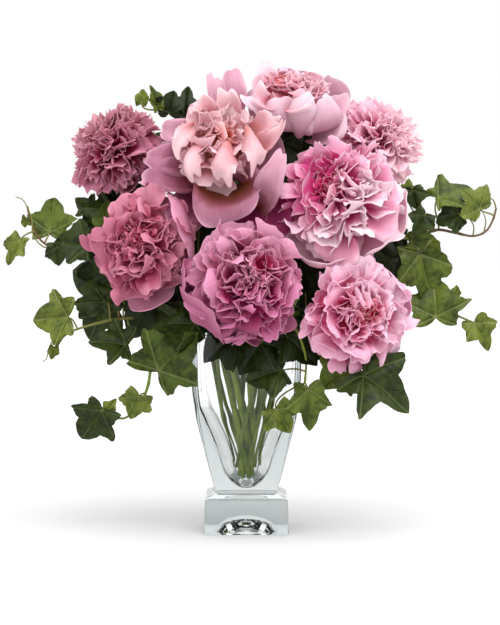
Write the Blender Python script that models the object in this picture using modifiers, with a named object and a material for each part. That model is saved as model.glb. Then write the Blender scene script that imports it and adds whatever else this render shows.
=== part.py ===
"""Peonies and trailing ivy standing in a square glass vase.

Metres, +Z up. The foot of the vase stands on z = 0 with its centre under the origin; the front faces -Y.
Dimensions in the tables below are millimetres, turned into metres by MM.
"""

import math
import random

import bmesh
import bpy
from mathutils import Matrix, Vector

MM = 0.001
NAME = "peonies_in_a_vase"
GAP = 0.35                # clearance left between two pieces that touch
RING = 32                 # points round the vase
STEM_R = 3.0              # peony stem radius
VINE_R = 1.9              # ivy stem radius
CALYX_R = 9.0             # the green cup under a peony
RIM_Z = 200.0             # height of the vase
FLOOR_Z = 45.0            # bottom of the hollow in the vase
STEM_FOOT_R = 10.6        # ring on which the peony stems stand
STEM_FOOT_Z = 51.1
STEM_RIM_R = 30.0         # ring on which they pass the rim
STEM_TWIST = 112.0        # degrees between the two rings
VINE_FOOT_Z = 66.0
VINE_RIM_R = 39.0
VINE_TWIST = -58.0
VINE_TAPER = 0.45         # how much thinner an ivy stem is at its tip

# Height, half width, corner radius of the outside of the vase, from the foot to the rim.
OUTSIDE = (
    (0.0, 41.6, 3.0),
    (1.0, 42.2, 3.4),
    (33.2, 41.0, 3.4),
    (35.0, 40.0, 3.4),
    (37.4, 35.4, 4.0),
    (39.6, 31.8, 4.4),
    (42.6, 31.0, 4.6),
    (48.0, 32.4, 4.8),
    (60.0, 35.8, 5.0),
    (88.0, 42.8, 5.2),
    (117.0, 49.8, 5.4),
    (145.0, 53.6, 5.6),
    (170.0, 54.2, 5.6),
    (198.4, 54.0, 5.6),
    (200.0, 52.8, 5.2),
)
# Height, half width, roundness (1 is a circle) of the hollow, from the rim down.
HOLLOW = (
    (200.0, 49.8, 0.16),
    (198.6, 48.8, 0.16),
    (170.0, 48.4, 0.18),
    (145.0, 47.8, 0.22),
    (128.0, 46.0, 0.32),
    (110.0, 40.4, 0.5),
    (92.0, 33.4, 0.72),
    (75.0, 27.3, 0.94),
    (60.0, 21.7, 0.98),
    (52.6, 16.0, 0.98),
    (47.4, 9.0, 0.98),
)
# Half width of the round hollow under the foot, and its height, from its middle out.
UNDERSIDE = (
    (9.0, 13.8),
    (19.0, 11.4),
    (27.0, 6.6),
    (32.0, 0.0),
)
ROUND = 0.98              # corner radius of a ring that is a circle, as a share of its half width

# Each peony: centre, the way it faces, half width, half height, depth before and behind the centre,
# angle at which its stem passes the rim, points its stem goes through above the rim, colour.
PEONIES = {
    "left_top": dict(
        at=(-129, 20, 378), face=(-0.55, -0.62, 0.5), half=(46, 43), deep=(36, 22), rim=180,
        path=((-50, 25, 260), (-82, 54, 325)), rose=(0.62, 0.20, 0.31)),
    "middle_top": dict(
        at=(-28, -20, 380), face=(0.05, -0.75, 0.62), half=(42, 50), deep=(40, 22), rim=135,
        path=((-24, 32, 270), (-31, 30, 332)), rose=(0.86, 0.47, 0.50)),
    "back_top": dict(
        at=(47, 30, 430), face=(0.1, -0.6, 0.8), half=(45, 43), deep=(38, 20), rim=90,
        path=((10, 47, 280), (36, 62, 360)), rose=(0.88, 0.55, 0.62)),
    "right_top": dict(
        at=(132, 52, 386), face=(0.5, -0.6, 0.5), half=(47, 42), deep=(36, 20), rim=45,
        path=((46, 52, 270), (90, 84, 335)), rose=(0.80, 0.36, 0.50)),
    "right_middle": dict(
        at=(91, -30, 330), face=(-0.22, -0.86, 0.4), half=(64, 62), deep=(48, 26), rim=0,
        path=((56, 15, 240), (92, 30, 288)), rose=(0.84, 0.44, 0.58)),
    "left_middle": dict(
        at=(-101, -45, 284), face=(-0.15, -0.97, 0.15), half=(45, 57), deep=(42, 22), rim=225,
        path=((-50, -10, 238), (-82, 6, 262)), rose=(0.66, 0.26, 0.36)),
    "centre_low": dict(
        at=(2, -80, 250), face=(0.18, -0.96, 0.15), half=(58, 56), deep=(44, 24), rim=270,
        path=((-7, -24, 224),), rose=(0.68, 0.22, 0.42)),
    "right_low": dict(
        at=(104, -66, 218), face=(0.28, -0.94, 0.1), half=(53, 52), deep=(42, 24), rim=315,
        path=((50, -9, 217), (80, -8, 219)), rose=(0.86, 0.48, 0.60)),
}

# Large outer petals of each peony: angle round the bloom, half width and tilt from its axis at the
# tip in degrees, how far the tip stands off, colour.
GUARDS = {
    "middle_top": (
        (2, 27, 62, 24, (0.70, 0.34, 0.50)),
        (62, 26, 70, 20, (0.84, 0.52, 0.60)),
        (118, 24, 72, 22, (0.80, 0.50, 0.58)),
        (176, 27, 72, 32, (0.52, 0.22, 0.30)),
        (235, 26, 66, 26, (0.66, 0.34, 0.44)),
        (292, 26, 58, 16, (0.74, 0.42, 0.54)),
    ),
    "back_top": (
        (265, 34, 40, 9, (0.86, 0.60, 0.70)),
        (150, 30, 60, 6, (0.84, 0.60, 0.72)),
        (20, 30, 66, 10, (0.84, 0.56, 0.64)),
    ),
    "left_middle": ((12, 30, 66, 7, (0.60, 0.28, 0.38)),),
    "right_middle": ((262, 32, 84, 7, (0.80, 0.48, 0.56)),),
    "centre_low": ((215, 32, 62, 7, (0.46, 0.14, 0.26)),),
    "right_low": ((30, 32, 64, 7, (0.84, 0.54, 0.68)),),
}

# Ivy stems: angle at which each passes the rim, then the points it goes through outside.
VINES = {
    "left_upper": (165, (
        (-60, 18, 213), (-98, 20, 246), (-140, 10, 268), (-168, 4, 277), (-191, 0, 281),
        (-206, -4, 291), (-214, -6, 307), (-218, -7, 324))),
    "left_middle": (192, (
        (-61, -12, 212), (-92, -16, 213), (-126, -20, 212), (-158, -24, 205), (-178, -26, 197),
        (-188, -27, 184))),
    "left_lower": (219, (
        (-44, -36, 206), (-62, -48, 205), (-80, -54, 190), (-92, -56, 168), (-96, -56, 148),
        (-104, -56, 130), (-118, -55, 117), (-131, -54, 119), (-136, -54, 125))),
    "right_upper": (22, (
        (60, 26, 212), (96, 24, 242), (140, 14, 268), (172, 6, 291), (190, 1, 300),
        (209, -3, 297), (226, -5, 294), (239, -5, 299), (246, -5, 311), (249, -5, 322))),
    "right_middle": (-8, (
        (60, 3, 214), (88, 8, 234), (126, 4, 255), (160, 4, 262), (188, 4, 240),
        (206, 0, 218), (226, -4, 208))),
    "right_lower": (-30, (
        (60, -22, 210), (75, -20, 194), (92, -30, 166), (104, -50, 152), (112, -60, 149), (124, -66, 146))),
    "front": (-62, (
        (34, -46, 204), (46, -60, 205), (53, -66, 194), (58, -66, 174), (57, -66, 152))),
    "back": (118, (
        (-18, 64, 258), (-34, 74, 330), (-56, 60, 392), (-68, 46, 420))),
    "back_right": (70, (
        (24, 66, 240), (50, 96, 280), (72, 104, 318), (84, 106, 342))),
}

# Ivy leaves: ivy stem, where the blade starts, where its tip points, the way its face looks,
# length, width as a share of the length, fold, droop, colour.
DARK = (0.030, 0.058, 0.018)
DEEP = (0.018, 0.034, 0.014)
MID = (0.062, 0.105, 0.026)
LIGHT = (0.130, 0.185, 0.042)
LEAVES = {
    "left_peak": ("left_upper", (-197, 5, 298), (0.12, 0.15, 1), (-0.2, -0.9, 0.1), 36, 1.15, 0.3, 0.3, MID),
    "left_far": ("left_upper", (-225, -10, 290), (-0.45, 0.0, -0.9), (-0.3, -0.9, 0.3), 29, 0.88, 0.3, 0.2,
                 LIGHT),
    "left_inner": ("left_upper", (-160, -10, 284), (-0.95, -0.05, 0.25), (0.1, -0.9, 0.3), 32, 1.2, 0.2, 0.3,
                   DARK),
    "left_star": ("left_middle", (-176, -30, 214), (-1, 0, -0.05), (0, -0.95, 0.25), 36, 1.3, 0.2, 0.2,
                  LIGHT),
    "left_big": ("left_middle", (-128, -4, 240), (-0.9, 0, 0.42), (0, -0.95, 0.1), 54, 1.2, 0.2, 0.2, DARK),
    "left_vein": ("left_middle", (-119, -40, 187), (-1, 0, 0.1), (0, -0.8, 0.5), 36, 1.25, 0.2, 0.2, DARK),
    "left_front": ("left_lower", (-85, -64, 164), (0.7, -0.1, 0.72), (0, -0.95, 0.2), 52, 1.15, 0.2, 0.2,
                   MID),
    "left_light": ("left_lower", (-104, -64, 139), (-0.3, -0.3, -0.8), (0.2, -0.8, 0.5), 24, 1.2, 0.3, 0.3,
                   LIGHT),
    "left_low": ("left_lower", (-141, -56, 124), (-0.6, 0, -0.8), (0.1, -0.95, 0.2), 36, 1.15, 0.2, 0.2,
                 DARK),
    "top_dark": ("back", (-62, 38, 412), (0.02, 0.0, 1), (-0.1, -0.95, 0.1), 38, 0.62, 0.2, 0.2, DEEP),
    "right_peak": ("right_upper", (192, -2, 331), (0.9, 0.1, 0.5), (-0.3, -0.6, 0.7), 36, 1.2, 0.3, 0.3,
                   MID),
    "right_far": ("right_upper", (231, -10, 321), (-0.5, -0.3, 0.6), (-0.2, -0.7, 0.6), 27, 1.3, 0.3, 0.3,
                  LIGHT),
    "right_heart": ("right_upper", (212, -10, 316), (-0.95, -0.1, -0.3), (0.1, -0.9, 0.3), 25, 1.1, 0.2, 0.2,
                    DARK),
    "right_inner": ("right_upper", (177, -15, 315), (-0.5, -0.2, -0.85), (0.2, -0.9, 0.3), 24, 1.0, 0.3, 0.2,
                    DARK),
    "right_dark": ("right_middle", (156, -1, 273), (-1, 0, -0.1), (0, -0.95, 0.2), 32, 1.2, 0.2, 0.2, DEEP),
    "right_big": ("right_middle", (172, -12, 276), (0.3, -0.1, -0.95), (0.1, -0.95, 0.1), 57, 0.85, 0.3,
                  0.2, MID),
    "right_star": ("right_middle", (227, -10, 207), (0.45, -0.1, -0.75), (0.3, -0.9, 0.2), 30, 1.0, 0.3,
                   0.2, LIGHT),
    "low_star": ("right_lower", (115, -81, 151), (0.7, -0.15, -0.7), (0.1, -0.85, 0.5), 54, 1.15, 0.2, 0.2,
                 MID),
    "low_hang": ("front", (60, -70, 146), (0.1, -0.2, -0.98), (0.2, -0.95, 0.0), 40, 0.8, 0.3, 0.2, MID),
    "back_upper": ("back", (-30, 84, 352), (-0.2, 0.25, 1), (-0.1, 0.95, -0.1), 56, 1.2, 0.2, 0.2, DARK),
    "back_lower": ("back_right", (90, 109, 330), (0.75, 0.25, -0.5), (0.1, 0.95, 0.1), 56, 1.2, 0.2, 0.2,
                   DARK),
}
# Right half of an ivy leaf, x across and y along a blade one unit long.
IVY_EDGE = (
    (0.16, -0.12), (0.36, -0.20), (0.38, 0.02), (0.33, 0.13), (0.52, 0.25),
    (0.60, 0.44), (0.40, 0.47), (0.26, 0.54), (0.18, 0.74), (0.0, 1.0),
)
IVY_RIB = (0.10, 0.28, 0.50, 0.74)
BLADE_T = 1.1             # thickness of a leaf blade
STALK_R = 0.95            # radius of a leaf stalk
STALK_SINK = 2.2          # how far the stalk runs into the blade
PETAL_T = 1.0             # thickness of an outer petal
PETAL_FOOT = 146          # tilt from the bloom's axis at which an outer petal starts, in degrees

# Layers of petals from the outside in: tilt of the rim, number of lobes, share of the bloom's reach.
LAYERS = (
    (104, 9, 1.0),
    (82, 10, 1.0),
    (61, 8, 0.98),
    (42, 6, 0.96),
    (23, 5, 0.95),
)
LOBE_LIFT = 8.0           # how far a lobe rises above the gap beside it, in degrees
COLUMNS = 28              # points round a bloom

GLASS = (0.86, 0.92, 0.92)
STEM_GREEN = (0.115, 0.150, 0.050)
VINE_BROWN = (0.165, 0.080, 0.045)


def clear_scene():
    for obj in list(bpy.data.objects):
        bpy.data.objects.remove(obj, do_unlink=True)


def new_collection(name):
    group = bpy.data.collections.new(name)
    bpy.context.scene.collection.children.link(group)
    return group


def material(name, color, roughness, transmission=0.0):
    mat = bpy.data.materials.new(name)
    mat.use_nodes = True
    shader = mat.node_tree.nodes["Principled BSDF"]
    shader.inputs["Base Color"].default_value = (*color, 1.0)
    shader.inputs["Roughness"].default_value = roughness
    shader.inputs["Transmission Weight"].default_value = transmission
    return mat


def add_object(name, work, mat, parent=None, place=Matrix.Identity(4)):
    """Puts a bmesh, in metres in its own frame, into the part as one object and frees it."""
    mesh = bpy.data.meshes.new(name)
    work.to_mesh(mesh)
    work.free()
    mesh.materials.append(mat)
    mesh.shade_smooth()
    obj = bpy.data.objects.new(name, mesh)
    PART.objects.link(obj)
    obj.parent = parent
    obj.matrix_world = place
    return obj


def add_solidify(obj, thickness, offset):
    shell = obj.modifiers.new("thickness", "SOLIDIFY")
    shell.thickness = thickness * MM
    shell.offset = offset


# --- the vase ------------------------------------------------------------------------------------

def square_ring(work, half, corner, z):
    """A square with rounded corners. Every ring has as many points, so unlike rings can be joined."""
    ring = []
    for quarter in range(4):
        sx = (1, -1, -1, 1)[quarter]
        sy = (1, 1, -1, -1)[quarter]
        for i in range(RING // 4):
            a = math.radians(90 * quarter + 90 * (i + 0.5) / (RING // 4))
            x = sx * (half - corner) + corner * math.cos(a)
            y = sy * (half - corner) + corner * math.sin(a)
            ring.append(work.verts.new(Vector((x, y, z)) * MM))
    return ring


def join_rings(work, low, high):
    for i, vert in enumerate(low):
        j = (i + 1) % len(low)
        work.faces.new((vert, low[j], high[j], high[i]))


def close_ring(work, ring, z):
    tip = work.verts.new((0, 0, z * MM))
    for i, vert in enumerate(ring):
        work.faces.new((vert, ring[(i + 1) % len(ring)], tip))


def make_vase():
    """A loft from the hollow under the foot, up the outside, over the rim and down the inside."""
    work = bmesh.new()
    rings = [square_ring(work, half, half * ROUND, z) for half, z in UNDERSIDE]
    rings += [square_ring(work, half, corner, z) for z, half, corner in OUTSIDE]
    rings += [square_ring(work, half, half * roundness, z) for z, half, roundness in HOLLOW]
    for low, high in zip(rings, rings[1:]):
        join_rings(work, low, high)
    close_ring(work, rings[0], UNDERSIDE[0][1] + 0.5)
    close_ring(work, rings[-1], FLOOR_Z)
    bmesh.ops.recalc_face_normals(work, faces=work.faces)
    vase = add_object("glass_vase", work, material("clear_glass", GLASS, 0.02, 1.0))
    vase.data.set_sharp_from_angle(angle=math.radians(40))
    return vase


def hollow_radius(z):
    """Half width of the hollow at a height."""
    for (z1, r1, _), (z0, r0, _) in zip(HOLLOW, HOLLOW[1:]):
        if z0 <= z <= z1:
            return r0 + (r1 - r0) * (z - z0) / (z1 - z0)
    return HOLLOW[-1][1]


# --- stems ---------------------------------------------------------------------------------------

def smooth_path(knots, per_span):
    """Points on a smooth line through the knots."""
    pts = [Vector(k) for k in knots]
    pts = [pts[0] * 2 - pts[1]] + pts + [pts[-1] * 2 - pts[-2]]
    line = []
    for i in range(1, len(pts) - 2):
        a, b, c, d = pts[i - 1:i + 3]
        for k in range(per_span):
            t = k / per_span
            line.append(0.5 * (2 * b + (c - a) * t + (2 * a - 5 * b + 4 * c - d) * t * t
                               + (3 * b - 3 * c + d - a) * t ** 3))
    line.append(pts[-2])
    return line


def on_ring(radius, degrees, z):
    a = math.radians(degrees)
    return Vector((radius * math.cos(a), radius * math.sin(a), z))


def tube(name, line, radius, scales, sides, mat, group):
    """A closed round bar along a line of points, made thicker or thinner by its scales."""
    curve = bpy.data.curves.new(name, "CURVE")
    curve.dimensions = "3D"
    curve.bevel_depth = radius * MM
    curve.bevel_resolution = (sides - 4) // 2
    curve.use_fill_caps = True
    spline = curve.splines.new("POLY")
    spline.points.add(len(line) - 1)
    for point, spot, scale in zip(spline.points, line, scales):
        point.co = (*(spot * MM), 1.0)
        point.radius = scale
    draft = bpy.data.objects.new(name, curve)
    group.objects.link(draft)
    bpy.context.view_layer.update()
    mesh = bpy.data.meshes.new_from_object(draft.evaluated_get(bpy.context.evaluated_depsgraph_get()))
    obj = bpy.data.objects.new(name, mesh)
    group.objects.link(obj)
    obj.matrix_world = draft.matrix_world
    bpy.data.objects.remove(draft, do_unlink=True)
    obj.name = name
    weld_caps(mesh)
    mesh.materials.clear()
    mesh.materials.append(mat)
    mesh.shade_smooth()
    return obj


def weld_caps(mesh):
    work = bmesh.new()
    work.from_mesh(mesh)
    bmesh.ops.remove_doubles(work, verts=work.verts, dist=1e-6)
    work.to_mesh(mesh)
    work.free()


# --- peonies -------------------------------------------------------------------------------------

class Bloom:
    """Shape of one peony in its own frame: +Z is the way it faces, and it is a ball with half widths
    along X and Y, a depth before and behind its centre, and flat places where it leans on others."""

    def __init__(self, name, spec):
        self.name = name
        self.spec = spec
        self.walls = []
        axis = Vector(spec["face"]).normalized()
        side = Vector((0, 0, 1)).cross(axis).normalized()
        self.turn = Matrix((side, axis.cross(side), axis)).transposed()
        self.centre = Vector(spec["at"])

    def reach(self, way):
        """How far the bloom reaches along a unit vector in its own frame."""
        wide, high = self.spec["half"]
        deep = self.spec["deep"][0 if way.z > 0 else 1]
        r = 1 / math.sqrt((way.x / wide) ** 2 + (way.y / high) ** 2 + (way.z / deep) ** 2)
        for distance, normal in self.walls:
            lean = way.dot(normal)
            if lean > 1e-6:
                r = min(r, distance / lean)
        return r

    def place(self):
        return Matrix.Translation(self.centre * MM) @ self.turn.to_4x4()

    def world(self, spot):
        return self.centre + self.turn @ spot

    def back(self):
        """The point behind the bloom where its stem ends."""
        down = Vector((0, 0, -1))
        return self.world(down * self.reach(down))


def way(tilt, turn):
    """Unit vector at a tilt from +Z and a turn about it, in degrees."""
    a, b = math.radians(tilt), math.radians(turn)
    return Vector((math.sin(a) * math.cos(b), math.sin(a) * math.sin(b), math.cos(a)))


def lean_together(blooms):
    """Gives neighbouring blooms the flat places at which they press on each other."""
    for a in blooms:
        for b in blooms:
            if a is b:
                continue
            line = b.centre - a.centre
            seen_a = a.turn.transposed() @ line.normalized()
            seen_b = b.turn.transposed() @ -line.normalized()
            share = a.reach(seen_a) / (a.reach(seen_a) + b.reach(seen_b))
            a.walls.append((line.length * share - GAP * 0.75, seen_a))


def petal_rows(seed):
    """Rows of (tilt, share of the reach) from the back of a bloom to its front, one value a column:
    each layer of petals has a scalloped rim, and a foot inside it where the next layer starts."""
    dice = random.Random(seed)
    rows = [[(164, 1.0)] * COLUMNS, [(138, 1.0)] * COLUMNS]
    for tilt, lobes, share in LAYERS:
        shift = dice.random() * 360
        heights = [dice.uniform(0.5, 1.3) for _ in range(lobes)]
        rim = []
        foot = []
        for c in range(COLUMNS):
            turn = (360 * c / COLUMNS + shift) % 360
            which = int(turn / 360 * lobes) % lobes
            bump = abs(math.sin(math.pi * turn / 360 * lobes))
            lift = LOBE_LIFT * bump * heights[which]
            rim.append((tilt - lift, share * (0.94 + 0.06 * bump)))
            foot.append((tilt - lift - 4.5, share * (0.82 + 0.04 * bump)))
        rows += [rim, foot]
    return rows


def make_bloom(bloom, seed):
    """A ball whose rings of points are moved to the rims and feet of the layers of petals."""
    rows = petal_rows(seed)
    steps = len(rows) + 1
    work = bmesh.new()
    bmesh.ops.create_uvsphere(work, u_segments=COLUMNS, v_segments=steps, radius=1.0)
    for vert in work.verts:
        row = steps - 1 - round(math.acos(max(-1.0, min(1.0, vert.co.z))) / math.pi * steps)
        column = round(math.atan2(vert.co.y, vert.co.x) / math.tau * COLUMNS) % COLUMNS
        if row < 0:
            aim, share = way(180, 0), 1.0
        elif row == steps - 1:
            aim, share = way(0, 0), 0.86
        else:
            tilt, share = rows[row][column]
            aim = way(tilt, 360 * column / COLUMNS)
        vert.co = aim * bloom.reach(aim) * share * MM
    name = f"peony_{bloom.name}_bloom"
    return add_object(name, work, material(name + "_pink", bloom.spec["rose"], 0.6), None, bloom.place())


def make_guard(bloom, parent, number, turn, half_turn, tip_tilt, stand_off, color):
    """One large outer petal: a thin cupped sheet that leaves the back of the bloom and flares out."""
    across, along = 5, 6
    work = bmesh.new()
    bmesh.ops.create_grid(work, x_segments=across - 1, y_segments=along - 1, size=1.0)
    for vert in work.verts:
        t = vert.co.x
        s = (vert.co.y + 1) / 2
        width = half_turn * math.sqrt(max(0.0, 1 - ((s - 0.6) / 0.62) ** 2))
        tilt = PETAL_FOOT + (tip_tilt - PETAL_FOOT) * s * (1 - 0.12 * t * t)
        aim = way(tilt, turn + width * t)
        flare = stand_off * s * s * (1 - 0.25 * t * t)
        vert.co = aim * (bloom.reach(aim) + 0.7 + 0.8 * s + flare) * MM
    name = f"peony_{bloom.name}_petal_{number}"
    petal = add_object(name, work, material(name + "_pink", color, 0.55), parent, bloom.place())
    add_solidify(petal, PETAL_T, 1.0)
    return petal


def make_stem(bloom):
    """A straight stalk crossing the vase, curving over to the bloom and widening into its green cup."""
    axis = bloom.turn @ Vector((0, 0, 1))
    foot = on_ring(STEM_FOOT_R, bloom.spec["rim"] + STEM_TWIST, STEM_FOOT_Z)
    rim = on_ring(STEM_RIM_R, bloom.spec["rim"], RIM_Z)
    top = bloom.back() - axis * GAP
    line = [foot, foot.lerp(rim, 0.5)]
    line += smooth_path([rim, *bloom.spec["path"], top - axis * 13], 3)
    line += [top - axis * 7, top - axis * 2.5, top]
    scales = [1.0] * (len(line) - 3) + [1.15, CALYX_R / STEM_R, CALYX_R / STEM_R * 0.9]
    name = f"peony_{bloom.name}_stem"
    return tube(name, line, STEM_R, scales, 8, material(name + "_green", STEM_GREEN, 0.5), PART)


# --- ivy -----------------------------------------------------------------------------------------

def make_vine(name, rim_angle, path):
    """An ivy stem from the wall of the hollow, over the rim and out. Returns its points and radii."""
    foot_r = hollow_radius(VINE_FOOT_Z) - VINE_R - 1.4 * GAP
    foot = on_ring(foot_r, rim_angle + VINE_TWIST, VINE_FOOT_Z)
    rim = on_ring(VINE_RIM_R, rim_angle, RIM_Z - 6)
    line = [foot, foot.lerp(rim, 0.5)]
    line += smooth_path([rim, *path], 2)
    last = len(line) - 1
    scales = [1.0 - VINE_TAPER * max(0.0, i / last - 0.5) for i in range(last + 1)]
    full = f"ivy_stem_{name}"
    tube(full, line, VINE_R, scales, 6, material(full + "_brown", VINE_BROWN, 0.55), PART)
    return [(spot, VINE_R * scale) for spot, scale in zip(line, scales)]


def nearest(line, spot):
    """The point of a stem's line nearest to a spot, and the stem's radius there."""
    best = None
    for (a, ra), (b, rb) in zip(line, line[1:]):
        span = b - a
        t = max(0.0, min(1.0, (spot - a).dot(span) / span.length_squared))
        near = a + span * t
        if best is None or (near - spot).length < (best[0] - spot).length:
            best = (near, ra + (rb - ra) * t)
    return best


def leaf_frame(start, tip, face):
    """Frame of a leaf: +Y from the foot of the blade to its tip, +Z out of its upper face."""
    along = Vector(tip).normalized()
    normal = Vector(face)
    normal = (normal - along * normal.dot(along)).normalized()
    turn = Matrix((along.cross(normal), along, normal)).transposed()
    return Matrix.Translation(Vector(start) * MM) @ turn.to_4x4()


def make_blade(name, place, length, wide, fold, droop, mat):
    """Five lobes on each side of a rib, folded along it and drooping, as a sheet with thickness."""
    work = bmesh.new()
    rib = [work.verts.new((0.0, y, 0.0)) for y in (0.0, *IVY_RIB)]
    tip = work.verts.new((*IVY_EDGE[-1], 0.0))
    for side in (1, -1):
        edge = [work.verts.new((side * x, y, 0.0)) for x, y in IVY_EDGE[:-1]]
        work.faces.new((rib[0], *edge, tip, *reversed(rib[1:]))[::side])
    bmesh.ops.triangulate(work, faces=work.faces)
    for vert in work.verts:
        x, y, _ = vert.co
        rise = fold * abs(x) - droop * y * y - 0.25 * fold * x * x
        vert.co = Vector((x * wide, y, rise)) * length * MM
    blade = add_object(name, work, mat, None, place)
    add_solidify(blade, BLADE_T, 0.0)
    return blade


def make_leaf(name, line, start, tip, face, length, wide, fold, droop, color):
    """An ivy leaf: the blade, joined to a stalk that ends just short of the stem that carries it."""
    full = f"ivy_leaf_{name}"
    mat = material(full + "_green", color, 0.45)
    place = leaf_frame(start, tip, face)
    blade = make_blade(full, place, length, wide, fold, droop, mat)
    base = Vector(start)
    along = Vector(tip).normalized()
    near, thick = nearest(line, base - along * 3)
    outward = (base - near).normalized()
    end = near + outward * (thick + GAP)
    bend = base - along * min(0.4 * (base - near).length, 12)
    route = smooth_path([base + along * STALK_SINK, base, bend.lerp(end, 0.35), end], 1)
    stalk = tube(full + "_stalk", route, STALK_R, [1.0] * len(route), 6, mat, CUTTERS)
    stalk.hide_render = True
    stalk.display_type = "WIRE"
    union = blade.modifiers.new("stalk", "BOOLEAN")
    union.operation = "UNION"
    union.object = stalk
    return blade


def build():
    blooms = [Bloom(name, spec) for name, spec in PEONIES.items()]
    lean_together(blooms)
    make_vase()
    made = {}
    for number, bloom in enumerate(blooms):
        made[bloom.name] = (bloom, make_bloom(bloom, 11 + number))
        make_stem(bloom)
    for name, petals in GUARDS.items():
        for number, petal in enumerate(petals, start=1):
            make_guard(*made[name], number, *petal)
    lines = {name: make_vine(name, angle, path) for name, (angle, path) in VINES.items()}
    for name, (vine, *spec) in LEAVES.items():
        make_leaf(name, lines[vine], *spec)


clear_scene()
PART = new_collection(NAME)
CUTTERS = new_collection("cutters")
build()
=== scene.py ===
"""Peonies and trailing ivy in a clear glass vase: the looks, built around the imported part.

Metres, +Z up, and the front faces -Y. Tables are in millimetres and degrees, apart from the stage's,
which are in metres and degrees.
"""

import math

import bpy
import numpy as np
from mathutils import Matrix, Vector


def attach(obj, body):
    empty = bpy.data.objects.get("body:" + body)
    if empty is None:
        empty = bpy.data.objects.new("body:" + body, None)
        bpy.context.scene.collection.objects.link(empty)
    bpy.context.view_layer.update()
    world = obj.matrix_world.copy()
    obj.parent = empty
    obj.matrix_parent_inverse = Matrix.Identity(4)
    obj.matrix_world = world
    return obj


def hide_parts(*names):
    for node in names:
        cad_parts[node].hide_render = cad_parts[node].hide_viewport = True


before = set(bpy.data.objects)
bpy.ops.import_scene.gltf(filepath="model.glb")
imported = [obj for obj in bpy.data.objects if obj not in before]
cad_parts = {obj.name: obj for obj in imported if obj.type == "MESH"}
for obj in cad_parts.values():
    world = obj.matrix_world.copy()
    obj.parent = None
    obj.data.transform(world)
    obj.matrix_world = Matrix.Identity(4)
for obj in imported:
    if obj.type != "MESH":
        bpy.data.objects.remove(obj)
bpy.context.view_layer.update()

MM = 0.001            # a millimetre, in metres
UP = np.array((0.0, 0.0, 1.0))

# --- what the part is made of: the same places as the solids ---------------------------------------

STEM_R = 3.0
VINE_R = 1.9
CALYX_R = 9.0
RIM_Z = 200.0
STEM_FOOT = (10.6, 51.1, 112.0)     # ring radius, height and twist of the peony stems' feet
STEM_RIM_R = 30.0
VINE_FOOT = (66.0, -58.0)           # height and twist of the ivy stems' feet
VINE_RIM_R = 39.0                   # where they pass the rim, a little below its top
VINE_RIM_Z = 194.0
VINE_TAPER = 0.45
WALL_GAP = 0.5                      # from an ivy stem to the wall of the hollow, at its foot

# Outside of the vase from the foot up: height, half width, corner radius.
OUTSIDE = (
    (0.0, 41.6, 3.0), (1.0, 42.2, 3.4), (33.2, 41.0, 3.4), (35.0, 40.0, 3.4), (37.4, 35.4, 4.0),
    (39.6, 31.8, 4.4), (42.6, 31.0, 4.6), (48.0, 32.4, 4.8), (60.0, 35.8, 5.0), (88.0, 42.8, 5.2),
    (117.0, 49.8, 5.4), (145.0, 53.6, 5.6), (170.0, 54.2, 5.6), (198.4, 54.0, 5.6), (200.0, 52.8, 5.2),
)
# Hollow of the vase from its floor up: height, half width, roundness (1 is a circle).
HOLLOW = (
    (45.0, 0.5, 0.98), (45.4, 4.6, 0.98), (47.4, 9.0, 0.98), (52.6, 16.0, 0.98), (60.0, 21.7, 0.98),
    (75.0, 27.3, 0.94), (92.0, 33.4, 0.72), (110.0, 40.4, 0.5), (128.0, 46.0, 0.32),
    (145.0, 47.8, 0.22), (170.0, 48.4, 0.18), (198.6, 48.8, 0.16), (200.0, 49.8, 0.16),
)
# Dished underside from its middle out: height, half width, roundness.
UNDERSIDE = ((14.3, 0.5, 0.98), (13.8, 9.0, 0.98), (11.4, 19.0, 0.98), (6.6, 27.0, 0.98), (0.0, 32.0, 0.98))

# Name: centre; way it faces; half width and height; depth before and behind the centre; angle at which
# the stem passes the rim; the stem's path above the rim.
PEONIES = {
    "left_top": ((-129, 20, 378), (-.55, -.62, .5), (46, 43), (36, 22), 180,
                 ((-50, 25, 260), (-82, 54, 325))),
    "middle_top": ((-28, -20, 380), (.05, -.75, .62), (42, 50), (40, 22), 135,
                   ((-24, 32, 270), (-31, 30, 332))),
    "back_top": ((47, 30, 430), (.1, -.6, .8), (45, 43), (38, 20), 90,
                 ((10, 47, 280), (36, 62, 360))),
    "right_top": ((132, 52, 386), (.5, -.6, .5), (47, 42), (36, 20), 45,
                  ((46, 52, 270), (90, 84, 335))),
    "right_middle": ((91, -30, 330), (-.22, -.86, .4), (64, 62), (48, 26), 0,
                     ((56, 15, 240), (92, 30, 288))),
    "left_middle": ((-101, -45, 284), (-.15, -.97, .15), (45, 57), (42, 22), 225,
                    ((-50, -10, 238), (-82, 6, 262))),
    "centre_low": ((2, -80, 250), (.18, -.96, .15), (58, 56), (44, 24), 270,
                   ((-7, -24, 224),)),
    "right_low": ((104, -66, 218), (.28, -.94, .1), (53, 52), (42, 24), 315,
                  ((50, -9, 217), (80, -8, 219))),
}

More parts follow.
